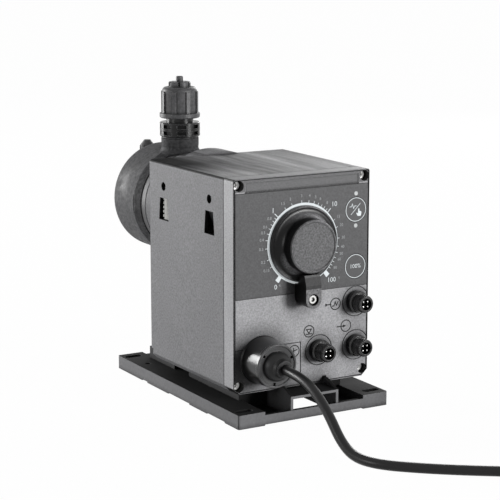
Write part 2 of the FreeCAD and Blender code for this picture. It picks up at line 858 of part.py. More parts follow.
def circuit_board():
    half = half_width(panel_y) - wall - board_margin_x / 2
    board = block(-half, half, board_y, board_y + board_thickness, body_bottom + board_bottom,
                  body_bottom + board_top)
    holes = [across_panel(board_screw_radius + 0.1, x, z, board_y - 1, board_y + 9) for x, z in standoff_places()]
    for place in plug_places():
        holes += [across_panel(contact_radius, x, z, board_y - 1, board_y + 9) for x, z in contact_places(*place)]
    return board.cut(holes)


def board_screws():
    screws = []
    for x, z in standoff_places():
        profile = [(-1.8, 0), (-1.8, 2.0), (-1.3, 2.4), (0, 2.4), (0, board_screw_radius),
                   (board_thickness + board_screw_grip, board_screw_radius),
                   (board_thickness + board_screw_grip, 0)]
        screws.append(turned(profile, V(x, board_y + board_thickness, z), V(0, -1, 0)))
    return Part.makeCompound(screws)


def board_components():
    """Transformer, capacitors, relay and terminals on the back of the board."""
    y = board_y + board_thickness
    low = body_bottom + board_bottom
    room = motor_y - motor_size / 2 - y
    half = half_width(panel_y) - wall - board_margin_x
    transformer = block(0.1 * half - transformer_width - relay_width, 0.1 * half - relay_width - board_margin_x,
                        y, y + 0.85 * room, low + board_margin_x, low + board_margin_x + transformer_height)
    relay = block(-relay_width / 2, relay_width / 2, y, y + 0.6 * room, low + board_margin_x,
                  low + board_margin_x + transformer_height)
    reach = half - 4 * standoff_radius
    terminals = [block(relay_width, half, y, y + 0.45 * room, low + board_margin_x, low + 3 * board_margin_x)]
    high = body_bottom + board_top - board_margin_x
    terminals.append(block(-reach, -relay_width / 2, y, y + 0.4 * room, high - 2 * board_margin_x, high))
    capacitors = []
    for k in range(capacitor_count):
        x = relay_width + capacitor_radius + k * (2 * capacitor_radius + 1)
        z = low + 6 * board_margin_x
        capacitors.append(across_panel(capacitor_radius, x, z, y, y + 0.7 * room))
    return Part.makeCompound([transformer, relay] + terminals + capacitors)


def gear_outline(teeth, centre, phase, z):
    """A closed outline of involute teeth, three points on each flank."""
    pressure = math.radians(20)
    pitch = gear_module * teeth / 2
    base = pitch * math.cos(pressure)
    radii = (pitch - 1.25 * gear_module, pitch, pitch + gear_module)
    points = []
    for tooth in range(teeth):
        middle = phase + 2 * math.pi * tooth / teeth
        flank = []
        for radius in radii:
            angle = math.acos(min(base / radius, 1))
            half = math.pi / (2 * teeth) - gear_backlash / (2 * pitch)
            half += math.tan(pressure) - pressure - math.tan(angle) + angle
            flank.append((radius, half))
        for radius, half in flank:
            points.append((radius, middle - half))
        for radius, half in reversed(flank):
            points.append((radius, middle + half))
    return [V(centre.x + r * math.cos(a), centre.y + r * math.sin(a), z) for r, a in points]


def drive_gear():
    centre = V(0, gear_y, 0)
    gear = prism(gear_outline(gear_teeth, centre, -math.pi / 2, gear_z), V(0, 0, gear_width))
    root = gear_module * (gear_teeth / 2 - 1.25)
    web = 1.2
    groove = ring(root - 2.0, hub_radius, V(0, gear_y, 0), V(0, gear_y, web))
    gear = gear.cut([groove.translated(V(0, 0, gear_z)), groove.translated(V(0, 0, gear_z + gear_width - web))])
    holes = [rod(3.4, V(14 * math.cos(a), gear_y + 14 * math.sin(a), gear_z - 1),
                 V(14 * math.cos(a), gear_y + 14 * math.sin(a), gear_z + gear_width + 1))
             for a in [math.radians(60 * k) for k in range(6)]]
    return gear.cut(holes + [rod(bearing_bore, V(0, gear_y, gear_z - 1), V(0, gear_y, gear_z + gear_width + 1))])


def motor_pinion():
    centre = V(0, motor_y, 0)
    phase = math.pi / 2 + math.pi / pinion_teeth
    pinion = prism(gear_outline(pinion_teeth, centre, phase, gear_z), V(0, 0, gear_width))
    return pinion.cut(rod(motor_shaft_radius, V(0, motor_y, gear_z - 1), V(0, motor_y, gear_z + gear_width + 1)))


def eccentric_shaft():
    """The shaft and its eccentric, at mid-stroke: the eccentric points sideways."""
    low = lower_plate_top - frame_plate
    high = upper_plate_bottom + frame_plate
    shaft = rod(bearing_bore, V(0, gear_y, low), V(0, gear_y, high))
    disc_low = head_z - roller_height / 2
    disc = rod(eccentric_radius, V(eccentric_offset, gear_y, disc_low),
               V(eccentric_offset, gear_y, disc_low + roller_height))
    collar_low = gear_z + gear_width
    collar = rod(hub_radius - 1, V(0, gear_y, collar_low), V(0, gear_y, disc_low))
    top = rod(hub_radius - 1, V(0, gear_y, disc_low + roller_height), V(0, gear_y, upper_plate_bottom - 0.3))
    return shaft.fuse([disc, collar, top]).removeSplitter()


def eccentric_roller():
    low = head_z - roller_height / 2
    start = V(eccentric_offset, gear_y, low)
    return ring(roller_radius, eccentric_radius, start, start + V(0, 0, roller_height))


def yoke():
    """The frame round the eccentric. It slides along Y and carries the push rod."""
    inner_x = roller_radius + eccentric_offset + yoke_play
    inner_y = roller_radius + eccentric_offset + stroke / 2 + yoke_play
    half_z = yoke_height / 2
    body = rounded(-inner_x - yoke_wall, inner_x + yoke_wall, gear_y - inner_y - yoke_wall,
                   gear_y + inner_y + yoke_wall, head_z - half_z, head_z + half_z, 3.0)
    return body.cut(rounded(-inner_x, inner_x, gear_y - inner_y, gear_y + inner_y,
                            head_z - half_z - 1, head_z + half_z + 1, 2.0))


def yoke_back():
    return gear_y + roller_radius + eccentric_offset + stroke / 2 + yoke_play + yoke_wall


def push_rod():
    """The rod from the yoke, with the end plate that carries the diaphragm."""
    rod_body = along_head(rod_radius, yoke_back(), core_front() + 1)
    return rod_body.fuse(along_head(core_radius - 1, core_front(), head_front - 1.0))


def core_front():
    return head_front - core_thickness - 1.0


def drive_frame():
    """The bracket that carries motor, bearings and guide bush, screwed to the rear wall."""
    back = housing_back - wall
    front = rear_plate_front
    low = lower_plate_top - frame_plate
    high = upper_plate_bottom + frame_plate
    reach_x = frame_screw_x + 5
    motor_front = motor_y - motor_size / 2
    plates = [block(-reach_x, reach_x, front, back, low, high),
              block(-frame_half_width, frame_half_width, motor_front, back, low, lower_plate_top),
              block(-bearing_radius - 6, bearing_radius + 6, gear_y - bearing_radius - 6, back,
                    upper_plate_bottom, high)]
    frame = plates[0].fuse(plates[1:])
    outline = [(front, lower_plate_top), (front, upper_plate_bottom), (gear_y - 8, lower_plate_top)]
    for side in (-1, 1):
        x = side * (frame_half_width - 1.5) - 1.5
        frame = frame.fuse(prism([V(x, y, z) for y, z in outline], V(3.0, 0, 0)))
    frame = frame.fuse(along_head(guide_hub_radius, front, front + bush_length - 4))
    cuts = [along_head(bush_radius, front - 1, front + bush_length),
            rod(bearing_radius, V(0, gear_y, low - 1), V(0, gear_y, lower_plate_top + 1)),
            rod(bearing_radius, V(0, gear_y, upper_plate_bottom - 1), V(0, gear_y, high + 1)),
            rod(motor_pilot_radius, V(0, motor_y, low - 1), V(0, motor_y, lower_plate_top + 1))]
    cuts += [along_head(frame_screw_radius + 0.1, front - 1, back + 1, x, z) for x, z in frame_screw_places()]
    cuts += [rod(motor_screw_radius + 0.1, V(x, y, low - 1), V(x, y, lower_plate_top + 1))
             for x, y in motor_screw_places()]
    return frame.cut(cuts).removeSplitter()


def motor_screw_places():
    half = motor_screw_pitch / 2
    return [(sx * half, motor_y + sy * half) for sx in (-1, 1) for sy in (-1, 1)]


def frame_screws():
    screws = []
    for x, z in frame_screw_places():
        profile = [(-3.0, 0), (-3.0, 3.4), (0, 3.4), (0, frame_screw_radius),
                   (frame_plate + frame_screw_grip - 1, frame_screw_radius),
                   (frame_plate + frame_screw_grip - 1, 0)]
        screws.append(turned(profile, V(x, rear_plate_front, head_z + z), V(0, 1, 0)))
    return Part.makeCompound(screws)


def shaft_bearings():
    low = lower_plate_top - frame_plate
    bore = bearing_bore + running_gap
    return Part.makeCompound([ring(bearing_radius, bore, V(0, gear_y, z), V(0, gear_y, z + frame_plate))
                              for z in (low, upper_plate_bottom)])


def guide_bush():
    front = rear_plate_front
    profile = [(-bush_flange, rod_radius + running_gap), (-bush_flange, bush_radius + 2.5),
               (0, bush_radius + 2.5), (0, bush_radius), (bush_length - 1, bush_radius),
               (bush_length - 1, rod_radius + running_gap)]
    return turned(profile, V(0, front, head_z), V(0, 1, 0))


def motor_square(half, z0, z1):
    cut = 4.0
    points = [(half - cut, -half), (half, cut - half), (half, half - cut), (half - cut, half),
              (cut - half, half), (-half, half - cut), (-half, cut - half), (cut - half, -half)]
    return prism([V(x, motor_y + y, z0) for x, y in points], V(0, 0, z1 - z0))


def motor_case():
    """The square case with its flange, open inside for stator and rotor."""
    top = lower_plate_top - frame_plate
    low = top - motor_length
    case = motor_square(motor_size / 2, low, top)
    case = case.fuse(rod(motor_pilot_radius, V(0, motor_y, top - 1), V(0, motor_y, top + motor_pilot_height)))
    cuts = [rod(motor_stator_radius, V(0, motor_y, low + motor_flange_height),
                V(0, motor_y, top - motor_flange_height)),
            rod(motor_shaft_radius + running_gap, V(0, motor_y, low - 1), V(0, motor_y, top + 20))]
    cuts += [rod(motor_screw_radius, V(x, y, top - motor_flange_height), V(x, y, top + 1))
             for x, y in motor_screw_places()]
    return case.cut(cuts).removeSplitter()


def motor_stator():
    top = lower_plate_top - frame_plate - motor_flange_height
    low = top - motor_length + 2 * motor_flange_height
    return ring(motor_stator_radius, motor_rotor_radius + 0.3, V(0, motor_y, low), V(0, motor_y, top))


def motor_rotor():
    top = lower_plate_top - frame_plate - motor_flange_height
    low = top - motor_length + 2 * motor_flange_height
    shaft = rod(motor_shaft_radius, V(0, motor_y, low - motor_flange_height), V(0, motor_y, gear_z + gear_width))
    return shaft.fuse(rod(motor_rotor_radius, V(0, motor_y, low + 1), V(0, motor_y, top - 1)))


def motor_screws():
    top = lower_plate_top
    screws = []
    for x, y in motor_screw_places():
        profile = [(2.4, 0), (2.4, 2.6), (0, 2.6), (0, motor_screw_radius),
                   (-frame_plate - 4, motor_screw_radius), (-frame_plate - 4, 0)]
        screws.append(turned(profile, V(x, y, top), V(0, 0, 1)))
    return Part.makeCompound(screws)


def spacer_ring():
    """The ring between neck and dosing head, with a drain hole at the bottom."""
    body = along_head(ring_radius, ring_front, head_front)
    body = body.cut(along_head(ring_bore, ring_front - 1, head_front + 1))
    y = (ring_front + head_front) / 2
    return body.cut(rod(1.6, V(0, y, head_z - ring_radius - 1), V(0, y, head_z - ring_bore + 1)))


def diaphragm():
    """The moulded rubber disc: a flat clamped rim, one convolution and a thick centre."""
    front = 0
    back = membrane_thickness
    inner = core_radius + 1.5
    bend = (membrane_clamp + inner) / 2
    profile = [(front, membrane_radius), (front, membrane_clamp), (front - 2.4, bend, front, inner),
               (front - 1.0, core_radius), (front - 1.0, 0), (back + 1.0, 0), (back + 1.0, core_radius),
               (back, inner), (back - 2.4, bend, back, membrane_clamp), (back, membrane_radius)]
    return turned(profile, V(0, head_front, head_z), V(0, 1, 0))


def dosing_head():
    """The round pump head, with a flared boss above and below for the two valves."""
    far = head_length
    profile = [(0, 0), (0, head_near_radius), (head_taper, head_radius), (far - head_edge, head_radius),
               (far - head_edge * 0.3, head_radius - head_edge * 0.3, far, head_radius - head_edge), (far, 0)]
    head = turned(profile, V(0, head_front, head_z), V(0, 1, 0))
    for side in (-1, 1):
        axis = V(0, 0, side)
        root = head_near_radius - 1
        boss = [(0, 0), (0, boss_radius), (root - 3, boss_radius), (root - 3, boss_radius + boss_flare),
                (root, boss_radius + boss_flare), (root + 1.2, boss_radius + 0.7, root + 5.0, boss_radius),
                (boss_reach - 0.6, boss_radius), (boss_reach, boss_radius - 0.6), (boss_reach, 0)]
        head = head.fuse(turned(boss, V(0, valve_y, head_z), axis))
    clear = neck_radius + ring_clear
    cuts = [along_head(clear, ring_front - 2 * boss_radius, head_front),
            along_head(membrane_radius, head_front - 1, head_front + membrane_thickness),
            turned([(0, 0), (0, chamber_radius), (chamber_depth, chamber_radius - 6), (chamber_depth, 0)],
                   V(0, head_front + membrane_thickness, head_z), V(0, 1, 0)),
            along_head(head_cap_radius, head_back - head_cap_thickness, head_back + 1)]
    for side in (-1, 1):
        socket = V(0, valve_y, head_z + side * (boss_reach - valve_socket_depth))
        cuts.append(rod(valve_thread_radius, socket, V(0, valve_y, head_z + side * (boss_reach + 1))))
        chamber = V(0, valve_y, head_z + side * (chamber_radius - 10))
        cuts.append(rod(channel_radius, chamber, V(0, valve_y, head_z + side * boss_reach)))
    for x, z in head_screw_places():
        cuts.append(along_head(head_screw_radius + 0.1, head_front - 1, head_back, x, z))
        cuts.append(along_head(head_screw_head + 0.3, head_back - head_cap_thickness - head_screw_sink,
                               head_back + 1, x, z))
    # a short slit in each flank
    for side in (-1, 1):
        x0, x1 = sorted((side * (head_radius - slit_depth), side * (head_radius + 1)))
        y = head_front + head_taper
        cuts.append(block(x0, x1, y, y + slit_width, head_z - slit_length / 2, head_z + slit_length / 2))
    cuts.append(vent_passage())
    return head.cut(cuts).removeSplitter()


def head_screw_places():
    angles = [math.radians(45 + 90 * k) for k in range(4)]
    return [(head_screw_circle * math.cos(a), head_screw_circle * math.sin(a)) for a in angles]


def head_screws():
    """Four long screws through head and ring into the neck."""
    seat = head_back - head_cap_thickness - head_screw_sink
    screws = []
    for x, z in head_screw_places():
        reach = seat - head_front
        profile = [(-4.0, 0), (-4.0, head_screw_head), (0, head_screw_head), (0, head_screw_radius),
                   (reach, head_screw_radius), (reach, 0)]
        screws.append(turned(profile, V(x, seat, head_z + z), V(0, -1, 0)))
    return Part.makeCompound(screws)


def vent_z():
    return head_z + vent_block_top


def head_cap():
    """The cover over the screws on the far face, with the vent block on it."""
    y0 = head_back - head_cap_thickness
    cap = turned([(0, 0), (0, head_cap_radius - 0.1), (head_cap_thickness, head_cap_radius - 0.1),
                  (head_cap_thickness + 1.2, head_cap_radius - 3), (head_cap_thickness + 1.2, 0)],
                 V(0, y0, head_z), V(0, 1, 0))
    half = vent_block_width / 2
    vent_block = block(vent_x - half, vent_x + half, y0 + 1, head_back + vent_block_depth,
                       vent_z() - vent_block_height, vent_z())
    cap = cap.fuse(vent_block)
    centre_y = vent_y()
    bottom = vent_z() - vent_block_height
    cuts = [rod(vent_stem_radius + running_gap, V(vent_x, centre_y, vent_z() - 12),
                V(vent_x, centre_y, vent_z() + 1)),
            rod(vent_bore, V(vent_x, centre_y, bottom - 1), V(vent_x, centre_y, vent_z() - 11)), vent_passage()]
    return cap.cut(cuts).removeSplitter()


def vent_y():
    return head_back + vent_block_depth / 2 + 0.6


def vent_passage():
    """The fine bore from the pump chamber to the vent valve."""
    z = vent_z() - 10
    return rod(vent_bore, V(vent_x, head_front + chamber_depth, head_z + 14), V(vent_x, vent_y(), z))


def vent_knob():
    """The vent valve: a fluted cap that narrows upwards, and its stem."""
    top = vent_knob_height
    profile = [(-9.0, 0), (-9.0, vent_stem_radius), (0.3, vent_stem_radius), (0.3, vent_knob_radius),
               (top * 0.55, vent_knob_radius), (top, vent_knob_radius - 3.6), (top, 0)]
    knob = turned(profile, V(vent_x, vent_y(), vent_z()), V(0, 0, 1))
    flutes = []
    for k in range(8):
        a = math.radians(45 * k)
        reach = vent_knob_radius + 0.7
        x = vent_x + reach * math.cos(a)
        y = vent_y() + reach * math.sin(a)
        flutes.append(rod(1.3, V(x, y, vent_z()), V(x, y, vent_z() + top)))
    return knob.cut(flutes)


def vent_nipple():
    """The barbed outlet for the vent hose, under the vent block."""
    steps = 3
    pitch = (vent_nipple_length - 4) / steps
    profile = [(0, vent_bore), (0, vent_nipple_radius + 1), (2, vent_nipple_radius + 1),
               (2, vent_nipple_radius - 0.4)]
    for k in range(steps):
        along = 3 + k * pitch
        profile += [(along, vent_nipple_radius - 0.4), (along, vent_nipple_radius),
                    (along + pitch * 0.9, vent_nipple_radius - 0.5)]
    profile += [(vent_nipple_length, vent_nipple_radius - 0.5), (vent_nipple_length, vent_bore)]
    start = V(vent_x, vent_y(), vent_z() - vent_block_height)
    return turned(profile, start, V(0, 0, -1))


def valve_place(side, height):
    return V(0, valve_y, head_z + side * height)


def valve_body(side):
    """The threaded valve body with its slotted collar."""
    start = boss_reach - valve_socket_depth
    collar = boss_reach + valve_gap
    neck = collar + valve_collar_height
    end = start + valve_core_length
    profile = [(start, valve_bore), (start, valve_thread_radius), (boss_reach, valve_thread_radius),
               (boss_reach, valve_collar_radius - 2.5), (collar, valve_collar_radius - 2.5),
               (collar, valve_collar_radius - 0.5), (collar + 0.5, valve_collar_radius),
               (neck - 0.5, valve_collar_radius), (neck, valve_collar_radius - 0.5),
               (neck, valve_neck_radius), (neck + valve_neck_length, valve_neck_radius),
               (neck + valve_neck_length, valve_thread_radius - 0.1), (end, valve_thread_radius - 0.1),
               (end, valve_bore)]
    body = turned(profile, valve_place(side, 0), V(0, 0, side))
    cuts = []
    for k in range(valve_windows):
        angle = 360 / valve_windows * (k + 0.5)
        depth = 2.4
        for level in (0, 1):
            low = collar + 1.5 + level * (valve_collar_height - 1.0) / 2
            high = low + (valve_collar_height - 5.0) / 2
            window = block(valve_collar_radius - depth, valve_collar_radius + 2, -window_half, window_half,
                           low, high)
            window.rotate(V(0, 0, 0), V(0, 0, 1), angle)
            if side < 0:
                window = window.mirror(V(0, 0, 0), V(0, 0, 1))
            cuts.append(window.translated(valve_place(side, 0)))
    # the cage leaves the ball room to lift
    seat = valve_place(1, ball_seat(side))
    cage = ball_radius + 1.2
    cuts.append(rod(cage, seat, seat + V(0, 0, 2 * ball_radius + ball_lift + 1.5)))
    return body.cut(cuts)


def ball_seat(side):
    """Height of the lower edge of a ball's cage over the head's axis. Both balls lift upwards."""
    start = boss_reach - valve_socket_depth
    if side > 0:
        return start + seat_height
    return -(start + 2 * ball_radius + ball_lift + 4.5)


def valve_ball(side):
    drop = ball_radius - math.sqrt(ball_radius ** 2 - seat_bore ** 2)
    centre = valve_place(1, ball_seat(side) + ball_radius - drop + ball_gap)
    return Part.makeSphere(ball_radius, centre)


def valve_seat(side):
    """The hard ring that a ball closes."""
    top = valve_place(1, ball_seat(side))
    return ring(valve_bore, seat_bore, top - V(0, 0, seat_height), top)


def valve_seal(side):
    """The rubber ring between valve collar and boss."""
    start = valve_place(side, boss_reach)
    end = valve_place(side, boss_reach + valve_gap)
    return ring(valve_collar_radius - 1.2, valve_collar_radius - 2.5, start, end)


def union_nut(side):
    """The ribbed union nut: a flange, eight ribs and an inward shoulder at its end."""
    start = boss_reach + valve_gap + valve_collar_height + valve_neck_length + 0.3
    end = start + nut_height
    inner = valve_thread_radius + 0.25
    mouth = clamp_ring_radius + 0.3
    profile = [(start, inner), (start, nut_flange_radius - 0.8), (start + 0.8, nut_flange_radius),
               (start + nut_flange_height - 0.6, nut_flange_radius),
               (start + nut_flange_height, nut_radius - 0.9),
               (end - 3.2, nut_radius - 0.9), (end - 0.9, nut_radius - 1.9, end, nut_radius - 4.2),
               (end, mouth), (end - 2.8, mouth), (end - 2.8, inner)]
    nut = turned(profile, valve_place(side, 0), V(0, 0, side))
    ribs = []
    for k in range(nut_ribs):
        angle = 360 / nut_ribs * k
        low = start + nut_flange_height - 0.5
        rib = block(nut_radius - 2.2, nut_radius, -1.6, 1.6, low, end - 3.4)
        rib.rotate(V(0, 0, 0), V(0, 0, 1), angle)
        if side < 0:
            rib = rib.mirror(V(0, 0, 0), V(0, 0, 1))
        ribs.append(rib.translated(valve_place(side, 0)))
    return nut.fuse(ribs).removeSplitter()


def hose_start():
    return boss_reach - valve_socket_depth + valve_core_length


def clamp_ring(side):
    """The slotted ring that grips the hose, seen in the nut's mouth."""
    start = hose_start() + 0.4
    end = nut_end() + clamp_ring_height
    shoulder = nut_end() - 3.1
    bore = nipple_shank_radius + running_gap
    profile = [(start, bore), (start, valve_thread_radius), (shoulder, valve_thread_radius),
               (shoulder, clamp_ring_radius), (end - 0.6, clamp_ring_radius), (end, clamp_ring_radius - 0.6),
               (end, bore)]
    body = turned(profile, valve_place(side, 0), V(0, 0, side))
    cuts = []
    for k in range(6):
        gap = block(nipple_radius + 2, clamp_ring_radius + 1, -0.8, 0.8, end - clamp_ring_height + 0.6, end + 1)
        gap.rotate(V(0, 0, 0), V(0, 0, 1), 60 * k)
        if side < 0:
            gap = gap.mirror(V(0, 0, 0), V(0, 0, 1))
        cuts.append(gap.translated(valve_place(side, 0)))
    return body.cut(cuts)


def nut_end():
    return boss_reach + valve_gap + valve_collar_height + valve_neck_length + 0.3 + nut_height


def hose_nipple(side):
    """The connection piece that the hose is pushed onto."""
    start = hose_start()
    end = nut_end() + clamp_ring_height + nipple_reach
    free = end - nipple_reach + 0.1
    profile = [(start, nipple_bore), (start, valve_bore + 1), (start + 0.4, valve_bore + 1),
               (start + 0.4, nipple_shank_radius), (free, nipple_shank_radius), (free, nipple_radius),
               (end - 0.5, nipple_radius),
               (end, nipple_radius - 0.4), (end, nipple_bore)]
    return turned(profile, valve_place(side, 0), V(0, 0, side))


def cord_route():
    """The cord from the gland to the coil: down to the floor, then round to the right."""
    z = body_bottom + gland_rise
    start = panel_y - gland_length - bushing_nose + bushing_bore_depth
    floor = cord_radius
    unit = cord_radius / 3.4
    drop = [(0, 0, 0), (0, -22, 0), (0, -44, -5.5), (-0.5, -62, -17.5), (-0.5, -76, -31.5)]
    points = [V(gland_x + x * unit, start + y * unit, z + rise * unit) for x, y, rise in drop]
    points.append(V(gland_x + 0.5 * unit, start - 90 * unit, floor + 0.5))
    landing = V(gland_x + 6 * unit, start - 108 * unit, floor)
    angle = math.radians(coil_entry_angle)
    entry = V(coil_centre_x + coil_radius * math.cos(angle), coil_centre_y + coil_radius * math.sin(angle), floor)
    across = entry - landing
    side = V(across.y, -across.x, 0).normalize()
    points.append(landing)
    for share, bow in ((0.19, 3.0), (0.41, 3.1), (0.63, 1.1), (0.82, 0.0)):
        points.append(landing + across * share + side * bow * unit)
    return points + [entry]


def tangent_path(points):
    """Straight runs joined by tangent arcs, as large as the runs allow."""
    edges = []
    radii = []
    here = points[0]
    for before, corner, after in zip(points, points[1:], points[2:]):
        into = (corner - before)
        away = (after - corner)
        shorter = min(into.Length, away.Length)
        into.normalize()
        away.normalize()
        turn = into.getAngle(away)
        trim = 0.45 * shorter
        radii.append(trim / math.tan(turn / 2))
        first = corner - into * trim
        last = corner + away * trim
        middle_way = away - into
        middle_way.normalize()
        to_centre = math.hypot(radii[-1], trim)
        middle = corner + middle_way * (to_centre - radii[-1])
        edges.append(Part.LineSegment(here, first).toShape())
        edges.append(Part.Arc(first, middle, last).toShape())
        here = last
    edges.append(Part.LineSegment(here, points[-1]).toShape())
    return Part.Wire(edges), radii


def tube(points, radius, name):
    path, radii = tangent_path(points)
    direction = points[1] - points[0]
    section = Part.Wire(Part.makeCircle(radius, points[0], direction))
    solid = path.makePipeShell([section], True, False)
    ideal = math.pi * radius ** 2 * path.Length
    print(name, "length", round(path.Length, 1), "volume over ideal", round(solid.Volume / ideal, 5))
    print(name, "bend radii", [round(r, 1) for r in radii])
    return solid


def mains_cord():
    return tube(cord_route(), cord_radius, "mains_cord")


def cord_coil():
    """The outer shape of the wound cord: a round-edged ring on the floor."""
    outer = coil_radius + 2 * cord_radius
    inner = coil_radius - 2 * cord_radius
    base = V(coil_centre_x, coil_centre_y, 0)
    coil = ring(outer, inner, base, base + V(0, 0, coil_height))
    rims = [e for e in coil.Edges if e.Closed and len(e.Vertexes) == 1]
    return coil.makeFillet(cord_radius * 0.9, rims)


def tail_place():
    return V(coil_centre_x + coil_radius + cord_radius, coil_centre_y, coil_height - cord_radius)


def plug_rear():
    start = tail_place()
    return V(start.x, start.y + tail_length, mains_plug_radius)


def cord_tail():
    start = tail_place()
    return rod(cord_radius, start, plug_rear())


def mains_plug():
    """A round two-pin plug with a ribbed grip and a tapered sleeve."""
    sleeve = mains_plug_sleeve
    end = sleeve + mains_plug_length
    profile = [(0, 0), (0, cord_radius + 0.9), (sleeve, 1.9 * cord_radius),
               (sleeve + 2.0, 0.6 * mains_plug_radius), (sleeve + 16.0, 0.68 * mains_plug_radius),
               (sleeve + 20.0, mains_plug_radius - 0.5), (sleeve + 22.0, mains_plug_radius),
               (end - 1.0, mains_plug_radius), (end, mains_plug_radius - 1.0), (end, 0)]
    plug = turned(profile, plug_rear(), V(0, 1, 0))
    flats = []
    for side in (-1, 1):
        z0, z1 = sorted((side * 0.51 * mains_plug_radius, side * 2 * mains_plug_radius))
        flat = block(-mains_plug_radius, mains_plug_radius, sleeve + 1, sleeve + 19, z0, z1)
        flats.append(flat.translated(plug_rear()))
    return plug.cut(flats)


def mains_pins():
    y = plug_rear().y + mains_plug_sleeve + mains_plug_length
    pins = []
    for side in (-1, 1):
        base = V(plug_rear().x + side * mains_pin_pitch / 2, y, plug_rear().z)
        profile = [(0, 0), (0, mains_pin_radius), (mains_pin_length - 1.5, mains_pin_radius),
                   (mains_pin_length, mains_pin_radius - 1.2), (mains_pin_length, 0)]
        pins.append(turned(profile, base, V(0, 1, 0)))
    return Part.makeCompound(pins)


def all_nodes():
    nodes = {"mounting_plate": mounting_plate(), "housing": housing(), "cover_gasket": cover_gasket(),
             "control_cover": control_cover(), "cover_screws": cover_screws(), "panel_label": panel_label(),
             "start_stop_key": key(key_places()[0]), "full_rate_key": key(key_places()[1]),
             "status_lights": status_lights(), "dial_knob": dial_knob(), "dial_shaft": dial_shaft(),
             "dial_sensor": dial_sensor(), "knob_lock": knob_lock(), "lock_screw": lock_screw(),
             "gland_socket": gland_socket(), "gland_cap": gland_cap(),
             "gland_screws": gland_screws(), "cable_bushing": cable_bushing(),
             "circuit_board": circuit_board(),
             "board_components": board_components(), "drive_frame": drive_frame(),
             "inner_screws": Part.makeCompound([board_screws(), frame_screws(), motor_screws()]),
             "shaft_bearings": shaft_bearings(), "guide_bush": guide_bush(),
             "drive_gear": drive_gear(), "eccentric_shaft": eccentric_shaft(),
             "eccentric_roller": eccentric_roller(),
             "motor_case": motor_case(), "motor_stator": motor_stator(), "motor_rotor": motor_rotor(),
             "motor_pinion": motor_pinion(), "yoke": yoke(),
             "push_rod": push_rod(), "diaphragm": diaphragm(),
             "spacer_ring": spacer_ring(), "dosing_head": dosing_head(), "head_screws": head_screws(),
             "head_cap": head_cap(), "vent_knob": vent_knob(), "vent_nipple": vent_nipple(),
             "mains_cord": mains_cord(), "cord_coil": cord_coil(), "cord_tail": cord_tail(),
             "mains_plug": mains_plug(), "mains_pins": mains_pins()}
    for number, place in enumerate(plug_places(), 1):
        nodes[f"signal_plug_{number}"] = signal_plug(place)
    nodes["plug_inserts"] = Part.makeCompound([plug_insert(place) for place in plug_places()])
    nodes["plug_contacts"] = Part.makeCompound([plug_contacts(place) for place in plug_places()])
    return nodes


def valve_nodes():
    nodes = {}
    for name, side in (("discharge", 1), ("suction", -1)):
        nodes[name + "_valve"] = valve_body(side)
        nodes[name + "_ball"] = valve_ball(side)
        nodes[name + "_nut"] = union_nut(side)
    nodes["hose_nipples"] = Part.makeCompound([hose_nipple(side) for side in (1, -1)])
    nodes["valve_seats"] = Part.makeCompound([valve_seat(side) for side in (1, -1)])
    nodes["valve_seals"] = Part.makeCompound([valve_seal(side) for side in (1, -1)])
    nodes["clamp_rings"] = Part.makeCompound([clamp_ring(side) for side in (1, -1)])
    return nodes


for node, shape in {**all_nodes(), **valve_nodes()}.items():
    sound = shape.isValid() and all(s.isClosed() for s in shape.Shells)
    print(node, "solids", len(shape.Solids), "volume", round(shape.Volume, 1), "" if sound else "NOT SOUND")
    shape.exportStep(f"parts/{node}.step")
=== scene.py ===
# %% [markdown]
# This lesson dresses a diaphragm metering pump. Its solid model is already there, and it is
# correct in shape and size. What is missing is all that makes it look real: the moulded grain of
# the plastics, the printed dial, the mains cord and the studio it stands in.
#
# The model is loaded as a fixed frame. Its pieces stay where they are, and new pieces are laid on them.

# %% Load the solid model
import bpy
import bmesh
import json
import math
from mathutils import Matrix, Vector


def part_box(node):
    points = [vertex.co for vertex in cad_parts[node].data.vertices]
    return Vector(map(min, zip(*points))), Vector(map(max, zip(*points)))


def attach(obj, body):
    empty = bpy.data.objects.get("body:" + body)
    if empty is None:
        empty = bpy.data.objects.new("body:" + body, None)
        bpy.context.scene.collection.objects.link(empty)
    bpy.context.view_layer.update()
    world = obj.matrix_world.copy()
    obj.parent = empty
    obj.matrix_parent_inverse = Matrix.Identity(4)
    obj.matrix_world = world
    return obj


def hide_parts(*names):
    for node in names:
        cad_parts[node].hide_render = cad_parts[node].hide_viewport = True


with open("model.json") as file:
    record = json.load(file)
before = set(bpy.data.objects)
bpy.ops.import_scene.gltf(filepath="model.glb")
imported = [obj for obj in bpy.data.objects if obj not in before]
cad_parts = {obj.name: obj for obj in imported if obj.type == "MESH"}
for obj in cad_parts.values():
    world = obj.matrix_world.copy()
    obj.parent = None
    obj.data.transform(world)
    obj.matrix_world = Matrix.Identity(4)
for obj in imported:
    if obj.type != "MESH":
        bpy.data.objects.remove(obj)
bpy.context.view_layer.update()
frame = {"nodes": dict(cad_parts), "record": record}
scene = bpy.context.scene


def mm(*values):
    """Millimetres to metres, as a vector or a single number."""
    return values[0] / 1000 if len(values) == 1 else Vector(values) / 1000


# Places on the pump, in millimetres. The panel faces -Y, and a place on it is (x, z).
PANEL_Y = -77.0
LABEL_Y = -77.1
DIAL_Z = 120.9
KEYS = {"start_key": (44.0, 141.1), "rate_key": (44.0, 100.3)}
PLUGS = [(44.6, 74.9), (44.6, 43.0), (13.7, 43.0)]

# %% [markdown]
# The camera stands a little more than a metre away, to the left of the pump and slightly above it.
# A long lens keeps the upright edges nearly parallel, as in a catalogue photograph. Its place and
# its focal length were fitted to points of the photograph, so the focal length is in pixels.

